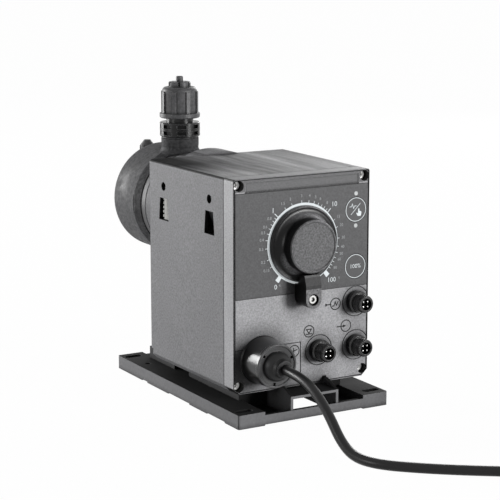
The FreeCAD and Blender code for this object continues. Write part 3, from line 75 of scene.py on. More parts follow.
# %% Camera
PICTURE_PIXELS = 500
FOCAL_PIXELS = 1636
SENSOR_WIDTH = 36.0
CAMERA_PLACE = (-592.94, -1024.07, 333.53)
CAMERA_TARGET = (-42.4, -77.0, 120.4)
camera_data = bpy.data.cameras.new("studio_camera")
camera_data.sensor_width = SENSOR_WIDTH
camera_data.lens = FOCAL_PIXELS * SENSOR_WIDTH / PICTURE_PIXELS
camera_data.clip_end = 60.0
camera = bpy.data.objects.new("studio_camera", camera_data)
scene.collection.objects.link(camera)
camera.location = mm(*CAMERA_PLACE)
look = mm(*CAMERA_TARGET) - camera.location
camera.rotation_mode = "QUATERNION"
camera.rotation_quaternion = look.to_track_quat("-Z", "Y")
scene.camera = camera
scene.view_settings.view_transform = "Standard"
print("distance to the panel", round(look.length, 3), "m")

# %% [markdown]
# The floor and the background are white, but the floor still takes the pump's shadow. Most of the
# white that the camera sees is plain emission, and a small share of it is a real lit surface.
# Polished faces see the same white, which is what gives black plastic its pale reflections. The
# floor lies a fifth of a millimetre below the pump, so that no two faces share one plane.

# %% Floor and background
FLOOR_TONE = (0.82, 0.82, 0.83)
FLOOR_HALF = 25.0
FLOOR_Z = -0.0002
PLAIN_SHARE = 0.985
AMBIENT = 0.13


def new_material(name):
    made = bpy.data.materials.new(name)
    made.use_nodes = True
    made.node_tree.nodes.clear()
    return made, made.node_tree


def add(tree, kind, operation=None, **inputs):
    """A node with some of its inputs set, by name; underscores stand for blanks."""
    made = tree.nodes.new(kind)
    if operation:
        made.operation = operation
    for name, value in inputs.items():
        made.inputs[name.replace("_", " ")].default_value = value
    return made


def wire(tree, start, end):
    tree.links.new(start, end)


def feed(tree, sockets, values):
    """Gives each socket its value: another node's output is wired to it, and a number is set."""
    for socket, value in zip(sockets, values):
        if isinstance(value, bpy.types.NodeSocket):
            wire(tree, value, socket)
        else:
            socket.default_value = value


def calculate(tree, operation, *values):
    """A Math node whose inputs are numbers or other nodes' outputs."""
    made = add(tree, "ShaderNodeMath", operation)
    feed(tree, made.inputs, values)
    return made.outputs[0]


def seen_white(tree, kinds):
    """1 for the rays that see the plain white."""
    path = add(tree, "ShaderNodeLightPath")
    total = path.outputs[kinds[0]]
    for kind in kinds[1:]:
        total = calculate(tree, "MAXIMUM", total, path.outputs[kind])
    return total


RAYS = ("Is Camera Ray", "Is Glossy Ray", "Is Transmission Ray")
floor_material, tree = new_material("studio_floor")
output = add(tree, "ShaderNodeOutputMaterial")
mix = add(tree, "ShaderNodeMixShader")
lit = add(tree, "ShaderNodeBsdfDiffuse", Color=(*FLOOR_TONE, 1))
glow = add(tree, "ShaderNodeEmission", Color=(1, 1, 1, 1), Strength=1.0)
wire(tree, calculate(tree, "MULTIPLY", seen_white(tree, RAYS), PLAIN_SHARE), mix.inputs[0])
wire(tree, lit.outputs[0], mix.inputs[1])
wire(tree, glow.outputs[0], mix.inputs[2])
wire(tree, mix.outputs[0], output.inputs[0])

mesh = bpy.data.meshes.new("studio_floor")
floor_corners = [(x * FLOOR_HALF, y * FLOOR_HALF, 0) for x, y in ((-1, -1), (1, -1), (1, 1), (-1, 1))]
mesh.from_pydata(floor_corners, [], [(0, 1, 2, 3)])
mesh.transform(Matrix.Translation((0, 0, FLOOR_Z)))
floor = bpy.data.objects.new("studio_floor", mesh)
floor.data.materials.append(floor_material)
scene.collection.objects.link(floor)

world = bpy.data.worlds.new("studio")
world.use_nodes = True
scene.world = world
tree = world.node_tree
tree.nodes.clear()
output = add(tree, "ShaderNodeOutputWorld")
mix = add(tree, "ShaderNodeMixShader")
ambient = add(tree, "ShaderNodeBackground", Color=(1, 1, 1, 1), Strength=AMBIENT)
white = add(tree, "ShaderNodeBackground", Color=(1, 1, 1, 1), Strength=1.0)
wire(tree, seen_white(tree, RAYS), mix.inputs[0])
wire(tree, ambient.outputs[0], mix.inputs[1])
wire(tree, white.outputs[0], mix.inputs[2])
wire(tree, mix.outputs[0], output.inputs[0])
print("floor", 2 * FLOOR_HALF, "m wide")

# %% [markdown]
# Four large lamps. The main one is in front and to the right, so that whatever stands out from the
# panel throws a soft shadow to the left. One on the left lights the long side. The two behind draw
# pale streaks along the edges of the round parts. Their places and sizes are in metres.

# %% Lamps
def lamp(name, place, target, size, watts):
    data = bpy.data.lights.new(name, "AREA")
    data.shape = "RECTANGLE"
    data.size, data.size_y = size
    data.energy = watts
    made = bpy.data.objects.new(name, data)
    made.location = place
    made.rotation_mode = "QUATERNION"
    made.rotation_quaternion = (Vector(target) - Vector(place)).to_track_quat("-Z", "Y")
    scene.collection.objects.link(made)


lamp("front_lamp", (1.4, -2.5, 0.5), (0, 0, 0.1), (0.8, 0.8), 88.0)
lamp("left_lamp", (-1.9, 0.0, 0.45), (0, 0, 0.1), (0.7, 0.9), 9.0)
lamp("rear_left_lamp", (-1.05, 1.75, 0.3), (0, 0, 0.1), (0.8, 1.1), 50.0)
lamp("rear_right_lamp", (1.3, 1.2, 0.7), (0, 0, 0.15), (0.6, 0.9), 9.0)

# %% [markdown]
# The mains cord is rubber-sheathed and 6.8 mm thick. It leaves the gland straight, droops to the
# floor under its own weight and runs off to the right. What is not needed is wound into a neat
# coil beside the plug. One smooth curve with listed control points gives the whole cord, and
# the turns of the coil are simply more points of the same curve. The curve cuts inside its points,
# so those of the coil lie a little outside the turn that they make. Each point carries the cord's
# radius, so the bevel itself is left at one.

# %% Mains cord
CORD_RADIUS = 3.4
CORD_EXIT = (-33, -102.4, 42)
route = [CORD_EXIT, (-33, -124.4, 42), (-33, -146.4, 36.5), (-33.5, -164.4, 24.5),
         (-33.5, -178.4, 10.5), (-32.5, -192.4, 3.9), (-27, -210.4, 3.4), (-10, -228, 3.4),
         (12, -246, 3.4), (35, -262, 3.4), (54, -276, 3.4)]
# The coil: where it starts in degrees, how many points a turn has, the part of a turn in which the
# cord comes in, and the radius and height of its turns in three layers.
COIL_CENTRE = (96.0, -262.0)
COIL_START = -130
STEPS = 16
ENTRY = 0.1
WIDE, NARROW = 40.8, 34.0
LOW, MIDDLE, HIGH = 3.4, 10.2, 17.0
widen = 1 / math.cos(math.pi / STEPS)
turns = 5 - COIL_START / 360
# each change of the turns as (turns so far, radius, height)
places = [(0.0, WIDE, LOW), (0.85, WIDE, LOW), (1.0, NARROW, LOW), (1.85, NARROW, LOW),
          (2.0, NARROW, MIDDLE), (2.85, NARROW, MIDDLE), (3.0, WIDE, MIDDLE), (3.85, WIDE, MIDDLE),
          (4.0, NARROW, HIGH), (4.85, NARROW, HIGH), (5.0, WIDE, HIGH), (6.0, WIDE, HIGH)]
steps = int(turns * STEPS)
for step in range(steps + 1):
    along = step * turns / steps
    before = max(p for p in places if p[0] <= along)
    after = min((p for p in places if p[0] > along), default=before)
    part = (along - before[0]) / max(after[0] - before[0], 1e-6)
    radius = (before[1] + (after[1] - before[1]) * part) * widen
    height = before[2] + (after[2] - before[2]) * part
    if along < ENTRY:
        radius -= CORD_RADIUS * (1 - along / ENTRY)
    angle = math.radians(COIL_START) + 2 * math.pi * along
    x = COIL_CENTRE[0] + radius * math.cos(angle)
    y = COIL_CENTRE[1] + radius * math.sin(angle)
    route.append((x, y, height))
route += [(136.8, -250, 17.2), (136.8, -238, 18.3), (136.8, -230.5, 18.5)]

curve = bpy.data.curves.new("mains_lead", "CURVE")
curve.dimensions = "3D"
spline = curve.splines.new("NURBS")
spline.points.add(len(route) - 1)
for point, place in zip(spline.points, route):
    point.co = (*mm(*place), 1)
    point.radius = mm(CORD_RADIUS)
spline.order_u = 3
spline.use_endpoint_u = True
spline.resolution_u = 6
curve.bevel_depth = 1.0
curve.bevel_resolution = 5
curve.use_fill_caps = True
cord = bpy.data.objects.new("mains_lead", curve)
scene.collection.objects.link(cord)
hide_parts("mains_cord", "cord_coil", "cord_tail")
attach(cord, "pump")
print("control points on the cord:", len(route))

# %% [markdown]
# Four effects are shared by most of the plastics, so each one is a node group, made once.
# Fine grain is the texture of the mould. Cloudiness is the slow change of tone over a large face,
# and stretched in one direction it makes the streaks of a wiped surface. Edge highlight and shade
# paints a tone along the edges: a painted highlight where an edge would catch the light, and a
# painted shadow line where the tone is dark. The difference between the true normal and a rounded
# one finds the edges. Corner shade is painted shade: the colour darkens where two faces meet.

# %% Shared effects
def effect(name, inputs, outputs):
    group = bpy.data.node_groups.new(name, "ShaderNodeTree")
    for title, kind, value in inputs:
        socket = group.interface.new_socket(title, in_out="INPUT", socket_type=kind)
        socket.default_value = value
    for title, kind in outputs:
        group.interface.new_socket(title, in_out="OUTPUT", socket_type=kind)
    return group, group.nodes.new("NodeGroupInput"), group.nodes.new("NodeGroupOutput")


def around_one(tree, value, amount):
    """Turns noise from 0 to 1 into a factor that swings about 1."""
    return calculate(tree, "MULTIPLY_ADD", calculate(tree, "SUBTRACT", value, 0.5), amount, 1.0)


FLOAT, VECTOR = "NodeSocketFloat", "NodeSocketVector"
grain, given, result = effect("fine_grain", [("Scale", FLOAT, 900.0), ("Amount", FLOAT, 0.1)],
                              [("Shade", FLOAT), ("Height", FLOAT)])
where = add(grain, "ShaderNodeTexCoord")
speckle = add(grain, "ShaderNodeTexNoise", Detail=3.0, Roughness=0.6)
wire(grain, where.outputs["Object"], speckle.inputs["Vector"])
wire(grain, given.outputs["Scale"], speckle.inputs["Scale"])
wire(grain, around_one(grain, speckle.outputs[0], given.outputs["Amount"]), result.inputs["Shade"])
wire(grain, speckle.outputs[0], result.inputs["Height"])

clouds, given, result = effect("cloudiness", [("Scale", VECTOR, (20.0, 20.0, 20.0)),
                                              ("Amount", FLOAT, 0.1)], [("Shade", FLOAT)])
where = add(clouds, "ShaderNodeTexCoord")
stretch = add(clouds, "ShaderNodeVectorMath", "MULTIPLY")
slow = add(clouds, "ShaderNodeTexNoise", Scale=1.0, Detail=4.0, Roughness=0.62, Distortion=0.4)
wire(clouds, where.outputs["Object"], stretch.inputs[0])
wire(clouds, given.outputs["Scale"], stretch.inputs[1])
wire(clouds, stretch.outputs[0], slow.inputs["Vector"])
wire(clouds, around_one(clouds, slow.outputs[0], given.outputs["Amount"]), result.inputs["Shade"])

# Painted highlight and shadow line along edges: a mask of where the rounded normal parts from the true one.
edges, given, result = effect("edge_highlight_and_shade", [("Radius", FLOAT, 0.0005), ("Strength", FLOAT, 3.0)],
                              [("Mask", FLOAT), ("Normal", VECTOR)])
rounded = add(edges, "ShaderNodeBevel")
rounded.samples = 4
shape = add(edges, "ShaderNodeNewGeometry")
agree = add(edges, "ShaderNodeVectorMath", "DOT_PRODUCT")
boost = add(edges, "ShaderNodeMath", "MULTIPLY")
boost.use_clamp = True
wire(edges, given.outputs["Radius"], rounded.inputs["Radius"])
wire(edges, rounded.outputs[0], agree.inputs[0])
wire(edges, shape.outputs["Normal"], agree.inputs[1])
wire(edges, calculate(edges, "SUBTRACT", 1.0, agree.outputs["Value"]), boost.inputs[0])
wire(edges, given.outputs["Strength"], boost.inputs[1])
wire(edges, boost.outputs[0], result.inputs["Mask"])
wire(edges, rounded.outputs[0], result.inputs["Normal"])

# Painted shade: ambient occlusion darkens the colour where faces close in.
corners, given, result = effect("corner_shade", [("Reach", FLOAT, 0.004), ("Power", FLOAT, 1.5)],
                                [("Shade", FLOAT)])
openness = add(corners, "ShaderNodeAmbientOcclusion")
openness.samples = 6
wire(corners, given.outputs["Reach"], openness.inputs["Distance"])
wire(corners, calculate(corners, "POWER", openness.outputs["AO"], given.outputs["Power"]),
     result.inputs["Shade"])
print("effects:", [g.name for g in bpy.data.node_groups])

# %% [markdown]
# Every plastic and metal here is one Principled shader with the same effects, in its own measure.
# A part is rarely one tone or one roughness, and zones say so. Many zones are painted light and
# shade: faces are made paler or darker by the way they look, as the lamps would light them, and
# dark lines, recesses and inner faces get painted shade. Each zone is a tone and the rules that pick
# its faces, by the way they look or by where they are.

# %% Material maker
COAT_ROUGHNESS = 0.12
EDGE_STRENGTH = 2.2
GRAIN_DEPTH = 0.0004


def group_node(tree, group, **inputs):
    made = tree.nodes.new("ShaderNodeGroup")
    made.node_tree = group
    for name, value in inputs.items():
        made.inputs[name].default_value = value
    return made


def blend(tree, kind, a, b, factor=1.0):
    mixer = tree.nodes.new("ShaderNodeMix")
    mixer.data_type = "RGBA"
    mixer.blend_type = kind
    feed(tree, (mixer.inputs[0], mixer.inputs[6], mixer.inputs[7]), (factor, a, b))
    return mixer.outputs[2]


def blend_value(tree, a, b, factor):
    mixer = tree.nodes.new("ShaderNodeMix")
    feed(tree, (mixer.inputs[0], mixer.inputs[2], mixer.inputs[3]), (factor, a, b))
    return mixer.outputs[0]


def rule_mask(tree, rules):
    """1 where every rule holds. A rule is (looks or lies, axis, low, high): it rises from low to
    high. An axis with a bar, such as |X|, takes both signs alike. Places are in millimetres."""
    total = None
    for kind, axis, low, high in rules:
        if kind == "looks":
            source = add(tree, "ShaderNodeNewGeometry").outputs["Normal"]
        else:
            source = add(tree, "ShaderNodeTexCoord").outputs["Object"]
            low, high = low / 1000, high / 1000
        split = add(tree, "ShaderNodeSeparateXYZ")
        wire(tree, source, split.inputs[0])
        value = split.outputs[axis.strip("|")]
        if "|" in axis:
            value = calculate(tree, "ABSOLUTE", value)
        ramp = add(tree, "ShaderNodeMapRange", From_Min=low, From_Max=high)
        wire(tree, value, ramp.inputs["Value"])
        total = ramp.outputs[0] if total is None else calculate(tree, "MULTIPLY", total, ramp.outputs[0])
    return total


def colour(tone):
    """A tone is a linear grey, which turns very slightly blue here, or a colour of its own."""
    return (*tone, 1) if isinstance(tone, tuple) else (tone, tone, tone * 1.03, 1)


def finish(name, tone, rough=0.5, grained=(900, 0.12), cloudy=((18, 18, 18), 0.12), zones=(),
           streaks=None, edge=None, edge_radius=0.5, bump=0.05, metallic=0.0, coat=0.0, specular=0.5,
           shade=(4.0, 1.3), glow=0.0):
    """A surface finish. A zone is a tone and its rules, and may have its own roughness. Grain, clouds
    and the streaks of level faces each have a scale and an amount. Edge is the tone of a painted
    highlight along the edges, and of a painted shadow line where it is dark; shade is how far the
    painted corner shade reaches and its power, and glow is light of the surface's own.
    Radius and reach are in millimetres."""
    made, tree = new_material(name)
    output = add(tree, "ShaderNodeOutputMaterial")
    shader = add(tree, "ShaderNodeBsdfPrincipled", Roughness=rough, Metallic=metallic)
    shader.inputs["Coat Weight"].default_value = coat
    shader.inputs["Coat Roughness"].default_value = COAT_ROUGHNESS
    shader.inputs["Specular IOR Level"].default_value = specular
    wire(tree, shader.outputs[0], output.inputs[0])
    speck = group_node(tree, grain, Scale=grained[0], Amount=grained[1])
    cloud = group_node(tree, clouds, Scale=cloudy[0], Amount=cloudy[1])
    edge_paint = group_node(tree, edges, Radius=mm(edge_radius), Strength=EDGE_STRENGTH)
    base, dullness = colour(tone), rough
    for zone_tone, rules, *zone_rough in zones:
        mask = rule_mask(tree, rules)
        base = blend(tree, "MIX", base, colour(zone_tone), mask)
        if zone_rough:
            dullness = blend_value(tree, dullness, zone_rough[0], mask)
    if streaks:
        wiped = group_node(tree, clouds, Scale=streaks[0], Amount=streaks[1])
        level = rule_mask(tree, [("looks", "Z", 0.5, 0.8)])
        base = blend(tree, "MULTIPLY", base, wiped.outputs["Shade"], level)
    # The edge tone is a painted highlight along the edges, and a painted shadow line where it is dark.
    if edge is not None:
        base = blend(tree, "MIX", base, colour(edge), edge_paint.outputs["Mask"])
    base = blend(tree, "MULTIPLY", base, speck.outputs["Shade"])
    base = blend(tree, "MULTIPLY", base, cloud.outputs["Shade"])
    # Painted shade: corners are darkened in the colour itself.
    if shade:
        corner = group_node(tree, corners, Reach=mm(shade[0]), Power=shade[1])
        base = blend(tree, "MULTIPLY", base, corner.outputs["Shade"])
    wire(tree, base, shader.inputs["Base Color"])
    if glow:
        wire(tree, base, shader.inputs["Emission Color"])
        shader.inputs["Emission Strength"].default_value = glow
    relief = add(tree, "ShaderNodeBump", Strength=bump, Distance=GRAIN_DEPTH)
    wire(tree, speck.outputs["Height"], relief.inputs["Height"])
    wire(tree, edge_paint.outputs["Normal"], relief.inputs["Normal"])
    wire(tree, relief.outputs[0], shader.inputs["Normal"])
    wire(tree, calculate(tree, "MULTIPLY", cloud.outputs["Shade"], dullness), shader.inputs["Roughness"])
    return made


FRONT = ("looks", "Y", -0.55, -0.85)
TOP = ("looks", "Z", 0.55, 0.85)
# The rounded long edges, where the housing and the cover get a painted shadow line.
ROUNDED_EDGE = [("looks", "|X|", 0.35, 0.5), ("looks", "Z", 0.15, 0.3)]
print("rules for a front face:", FRONT, "and for a level one:", TOP)

# %% [markdown]
# The large plastic parts. The mounting plate is nearly black inside and on top, and its outer walls
# are painted grey, lit as the lamps would light them. The housing and the control cover are a middle
# grey, and the cover's front and top are painted a little darker than its sides, as lit. The
# housing's top is streaky, as if wiped, and a painted dark reflection grows towards its rear left
# corner. Thin dark zones are painted shadow lines along the edges. The label is a smooth printed film.

# %% Finishes of the large parts
materials = {
    # the plate's zones, painted light on a nearly black plate: faces that look sideways lit a little,
    # the outermost side and end walls lit grey, level faces kept dark; its edges get a painted highlight
    "plate": finish("plate_plastic", 0.006, 0.7, (500, 0.5), ((30, 30, 30), 0.3), bump=0.15, specular=0.12,
                    zones=[(0.05, [("looks", "|X|", 0.8, 0.9)]),
                           (0.15, [("lies", "|X|", 61.2, 61.3)], 0.5),
                           (0.15, [("lies", "|Y|", 94.0, 94.05)], 0.5),
                           (0.006, [TOP])], edge=0.07, edge_radius=0.4),
    # the housing's zones: the top, glossier; the painted dark reflection towards the top's rear left
    # corner; painted shadow lines on the long edges; the rear face and neck; painted shade on the inner
    # faces. Its edge tone is a painted dark line.
    "housing": finish("housing_plastic", 0.21, 0.5, (800, 1.3), ((11, 11, 11), 0.3), bump=0.2, specular=0.06,
                      zones=[(0.21, [TOP], 0.35),
                             (0.004, [TOP, ("lies", "X", 5, -43), ("lies", "Y", -52, 5)], 0.9),
                             (0.012, ROUNDED_EDGE),
                             (0.15, [("lies", "Y", 42.6, 42.8)]),
                             (0.01, [("looks", "|X|", 0.5, 0.3), ("lies", "Z", 168.5, 168.3),
                                     ("lies", "Y", 42.6, 42.4)])],
                      streaks=((80, 7, 1), 6.0), edge=0.03, edge_radius=0.5),
    # the cover's zones: the front, painted a little darker than the sides as lit, the strip above the
    # label, a painted shadow line under the strip, the top, painted darker as shaded, the lines along
    # the sides of the front, the painted shadow beside the gland, painted shadow lines on the long
    # edges, the front's upright edges, and painted shade on the inner faces and on the floors of the
    # recesses in the front. Its edge tone is a painted highlight, and its painted corner shade reaches far.
    "cover": finish("cover_plastic", 0.33, 0.45, (900, 1.3), ((20, 14, 12), 0.45), bump=0.25, specular=0.2,
                    zones=[(0.29, [FRONT]),
                           (0.1, [FRONT, ("lies", "Z", 160.4, 160.6)]),
                           (0.01, [FRONT, ("lies", "Z", 159.2, 159.3), ("lies", "Z", 160.7, 160.5),
                                   ("lies", "|X|", 46.5, 46.3)]),
                           (0.25, [TOP]),
                           (0.006, [FRONT, ("lies", "|X|", 53.75, 53.85)]),
                           (0.045, [FRONT, ("lies", "X", -31, -51), ("lies", "Z", 72, 44),
                                    ("lies", "Z", 8, 26)]),
                           (0.012, ROUNDED_EDGE),
                           (0.01, [("looks", "Y", -0.2, -0.4), ("looks", "|X|", 0.2, 0.4)]),
                           (0.004, [("looks", "|Y|", 0.5, 0.3), ("lies", "|X|", 55.0, 54.8),
                                    ("lies", "Z", 168.6, 168.4)]),
                           (0.004, [FRONT, ("lies", "Y", -76.2, -76.0)])],
                    edge=0.45, edge_radius=0.4, shade=(14.0, 2.4)),
    "label": finish("label_film", 0.074, 0.5, (900, 1.2), ((9, 9, 9), 0.2), bump=0.03, specular=0.2,
                    shade=(6.0, 1.5)),
    # the head's zones: painted shade on the faces that look at the housing, and the socket of the upper valve
    "head": finish("head_plastic", 0.085, 0.65, (420, 2.2), ((45, 30, 40), 2.5), bump=0.25,
                   zones=[(0.065, [("looks", "Y", -0.1, -0.3)]),
                          (0.045, [("lies", "Z", 168.0, 172.0)])],
                   edge=0.16, edge_radius=0.8, specular=0.1, shade=(12.0, 1.6)),
    "ring": finish("ring_plastic", 0.07, 0.5, (800, 0.5), ((30, 30, 60), 0.5), bump=0.08, edge=0.2,
                   specular=0.2),
}
print("large parts:", len(materials))

# %% [markdown]
# The small parts are darker and glossier. The knob's face is grained and painted paler than its
# black side, as lit, and two soft crescents on the skirt round it are painted highlights. The
# contacts are bright metal, and most of the rest is plain black plastic, whose edges carry a painted
# highlight. What is inside the housing gets a finish too, because the model is also looked at in
# pieces.

# %% Finishes of the small parts
SMOOTH = {"grained": (1500, 0.1), "cloudy": ((40, 40, 40), 0.1), "bump": 0.02}
# Each edge tone here is a painted highlight along the edges, and shade is the painted corner shade.
materials |= {
    # the knob's zones: its face, painted paler than the black side as lit; the painted shadow of the
    # knob on the lock block's slope; the block's face; the two crescents, painted highlights on the skirt
    "knob": finish("knob_plastic", 0.003, 0.3, (800, 2.8), ((25, 25, 25), 0.1), bump=0.1, specular=0.2,
                   zones=[(0.095, [FRONT, ("lies", "Y", -91.2, -91.4), ("lies", "Z", 99.0, 99.5)], 0.5),
                          (0.02, [FRONT, ("lies", "Z", 99.5, 99.0)], 0.5),
                          (0.13, [FRONT, ("lies", "Z", 91.2, 91.1)], 0.5),
                          (0.22, [("looks", "Y", -0.1, -0.35), ("looks", "Z", 0.2, 0.6),
                                  ("looks", "X", -0.5, 0.4), ("lies", "Z", 99.0, 99.5)], 0.5),
                          (0.14, [("looks", "Y", -0.1, -0.35), ("looks", "Z", -0.15, -0.45),
                                  ("looks", "X", 0.0, -0.4)], 0.5)], edge=0.06, edge_radius=0.4),
    "key": finish("key_film", 0.073, 0.5, (1100, 0.6), ((9, 9, 9), 0.2), bump=0.03, specular=0.2),
    "light": finish("light_lens", (0.42, 0.44, 0.44), 0.3, (900, 0.02), ((30, 30, 30), 0.02), bump=0.0,
                    shade=None),
    "connector": finish("connector_shell", 0.003, 0.26, edge=0.3, edge_radius=0.3, specular=0.5, **SMOOTH),
    "insert": finish("dark_insert", 0.003, 0.5, specular=0.2, **SMOOTH),
    "brass": finish("brass_parts", (0.62, 0.47, 0.2), 0.3, (900, 0.1), ((50, 50, 50), 0.1), bump=0.03,
                    metallic=1.0),
    "steel": finish("turned_steel", (0.85, 0.85, 0.84), 0.25, (900, 0.15), ((60, 60, 60), 0.15), bump=0.04,
                    metallic=1.0, shade=(1.0, 1.0)),
    "rubber": finish("moulded_rubber", 0.01, 0.42, (900, 0.2), ((30, 30, 30), 0.15), edge=0.3, bump=0.06,
                     specular=0.25),
    "board": finish("board_lacquer", (0.02, 0.14, 0.05), 0.35, (900, 0.1), ((50, 50, 50), 0.15), bump=0.02),
    "components": finish("component_cases", 0.04, 0.4, (900, 0.1), ((50, 50, 50), 0.15), bump=0.03),
    "frame": finish("cast_aluminium", (0.55, 0.56, 0.57), 0.45, (500, 0.2), ((40, 40, 40), 0.15), bump=0.15,
                    metallic=1.0),
    "motor": finish("motor_enamel", 0.025, 0.35, (900, 0.1), ((40, 40, 40), 0.1), edge=0.1),
    "valve": finish("valve_plastic", 0.0015, 0.24, (900, 0.15), ((40, 40, 40), 0.1), edge=0.35,
                    edge_radius=0.4, specular=0.3, shade=(2.5, 3.0)),
    "nut": finish("nut_plastic", 0.07, 0.4, (400, 2.0), ((60, 60, 30), 1.2), edge=0.25, edge_radius=0.5,
                  bump=0.15, specular=0.25, shade=(2.5, 3.0)),
    "ceramic": finish("ground_ceramic", (0.82, 0.81, 0.77), 0.2, (900, 0.03), ((50, 50, 50), 0.03), bump=0.0),
    "cord": finish("cord_sheath", 0.008, 0.3, (1200, 0.2), ((60, 60, 60), 0.15), bump=0.06, specular=0.25),
}
print("finishes by slot:", len(materials))

# %% [markdown]
# A node takes the finish of its material slot. A few nodes share a slot with others and still look
# different: the glossy gland, whose cap is greyer in front, its blackened screws, the zinc-plated
# screws of the cover and of the lock, and the vent valve's knob. The white plastic is for the wire
# connector that comes later. It and the cover's screws glow a little, because they lie deep in
# holes that the lamps hardly reach.

# %% Finishes of single nodes
gland_black = finish("gland_plastic", 0.002, 0.28, edge=0.3, edge_radius=0.35, zones=[(0.045, [FRONT])],
                     coat=0.3, specular=0.4, **SMOOTH)
vent_plastic = finish("vent_plastic", 0.04, 0.5, edge=0.12)
dark_screw = finish("blackened_screw", 0.001, 0.8, (900, 0.1), ((40, 40, 40), 0.1), specular=0.02)
white_comb = finish("comb_plastic", (0.85, 0.85, 0.82), 0.4, (900, 0.05), ((50, 50, 50), 0.1), bump=0.02,
                    shade=(1.5, 1.5), glow=0.45)
zinc = finish("zinc_screw", (0.75, 0.75, 0.74), 0.35, (900, 0.15), ((60, 60, 60), 0.15), bump=0.04,
              metallic=0.5, glow=0.2, shade=(1.0, 2.0))
dull_zinc = finish("dull_zinc_screw", (0.42, 0.42, 0.41), 0.4, (900, 0.2), ((60, 60, 60), 0.15), bump=0.04,
                   metallic=0.5, shade=(1.2, 3.0))
special = {"cover_screws": zinc, "lock_screw": dull_zinc, "gland_socket": gland_black,
           "gland_cap": gland_black, "gland_screws": dark_screw, "vent_knob": vent_plastic}
slots = {entry["node"]: entry["material_slot"] for entry in frame["record"]["subparts"]}
for name, node in frame["nodes"].items():
    node.data.materials.clear()
    node.data.materials.append(special.get(name, materials[slots[name]]))
cord.data.materials.append(materials["cord"])
print("materials:", len(bpy.data.materials))

# %% [markdown]
# Print is thin, but it has a thickness: each mark is a closed plate of a few hundredths of a
# millimetre, set a little into the face so that no gap shows under it. Marks that belong together
# are gathered in one mesh. The ink has some light of its own, so that thin lines stay clear.

# %% Helpers for prints
# How far a mark stands out of its face and reaches into it, and how much higher one stands that
# touches another.
PROUD, SUNK = 0.03, 0.02
LIFT = 0.01
ON_LABEL = (LABEL_Y - PROUD, LABEL_Y + SUNK)
ON_PANEL = (PANEL_Y - PROUD, PANEL_Y + SUNK)
SMALL_FIGURE = 4
BOLDER, FINER = 0.03, -0.01
WELD = 0.002


def band(marks, x, z, inner, outer, first, last, front, back):
    """A flat ring, or a part of one. Angles run clockwise from the top."""
    whole = last - first >= 360
    steps = max(int((last - first) / 4), 2)
    rows = []
    for k in range(steps + (not whole)):
        a = math.radians(first + (last - first) * k / steps)
        corners = ((inner, front), (outer, front), (outer, back), (inner, back))
        rows.append([marks.verts.new(mm(x + r * math.sin(a), y, z + r * math.cos(a))) for r, y in corners])
    for a, b in zip(rows, rows[1:] + rows[:1]) if whole else zip(rows, rows[1:]):
        for k in range(4):
            marks.faces.new((a[k], a[(k + 1) % 4], b[(k + 1) % 4], b[k]))
    if not whole:
        marks.faces.new(rows[0])
        marks.faces.new(rows[-1])


def flat_shape(marks, points, front, back):
    """A flat plate with the outline of the points, which are (x, z)."""
    near = [marks.verts.new(mm(x, front, z)) for x, z in points]
    rear = [marks.verts.new(mm(x, back, z)) for x, z in points]
    marks.faces.new(near)
    marks.faces.new(rear)
    for k in range(len(points)):
        n = (k + 1) % len(points)
        marks.faces.new((near[k], near[n], rear[n], rear[k]))


def stroke(marks, points, width, front, back):
    """Straight strokes from point to point, each a little plate of its own."""
    for (x0, z0), (x1, z1) in zip(points, points[1:]):
        way = Vector((x1 - x0, z1 - z0)).normalized() * width / 2
        flat_shape(marks, [(x0 - way.x - way.y, z0 - way.y + way.x),
                           (x1 + way.x - way.y, z1 + way.y + way.x),
                           (x1 + way.x + way.y, z1 + way.y - way.x),
                           (x0 - way.x + way.y, z0 - way.y - way.x)], front, back)


def words(marks, text, size, x, z, front, back):
    """Figures in the plain built-in font, centred on a point. Small ones are drawn bolder."""
    data = bpy.data.curves.new("figures", "FONT")
    data.body = text
    data.size = mm(size)
    data.align_x = "CENTER"
    data.align_y = "CENTER"
    data.extrude = mm(back - front) / 2
    data.resolution_u = 3
    data.offset = mm(BOLDER if size < SMALL_FIGURE else FINER)
    holder = bpy.data.objects.new("figures", data)
    scene.collection.objects.link(holder)
    graph = bpy.context.evaluated_depsgraph_get()
    made = bpy.data.meshes.new_from_object(holder.evaluated_get(graph))
    made.transform(Matrix.Translation(mm(x, (front + back) / 2, z)) @ Matrix.Rotation(math.pi / 2, 4, "X"))
    marks.from_mesh(made)
    bpy.data.objects.remove(holder)
    bpy.data.meshes.remove(made)


def piece(name, marks, material, body):
    """The gathered marks become one closed mesh that rides on a body."""
    bmesh.ops.remove_doubles(marks, verts=marks.verts, dist=mm(WELD))
    bmesh.ops.recalc_face_normals(marks, faces=marks.faces)
    mesh = bpy.data.meshes.new(name)
    marks.to_mesh(mesh)
    marks.free()
    mesh.materials.append(material)
    made = bpy.data.objects.new(name, mesh)
    scene.collection.objects.link(made)
    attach(made, body)


def ink(name, tone):
    return finish(name, tone, 0.5, (1500, 0.05), ((30, 30, 30), 0.05), bump=0.0, specular=0.2, shade=None,
                  glow=0.8)


print_white = ink("print_white", (0.4, 0.425, 0.435))
print_grey = ink("print_grey", (0.17, 0.177, 0.18))
print_black = ink("print_black", 0.004)
print("figures stand", PROUD, "mm proud")

# %% [markdown]
# Geometry Nodes make what repeats by a rule. Each tree has named inputs for its sizes. It is run
# once, its result is kept as a plain mesh, and the modifier is taken off.

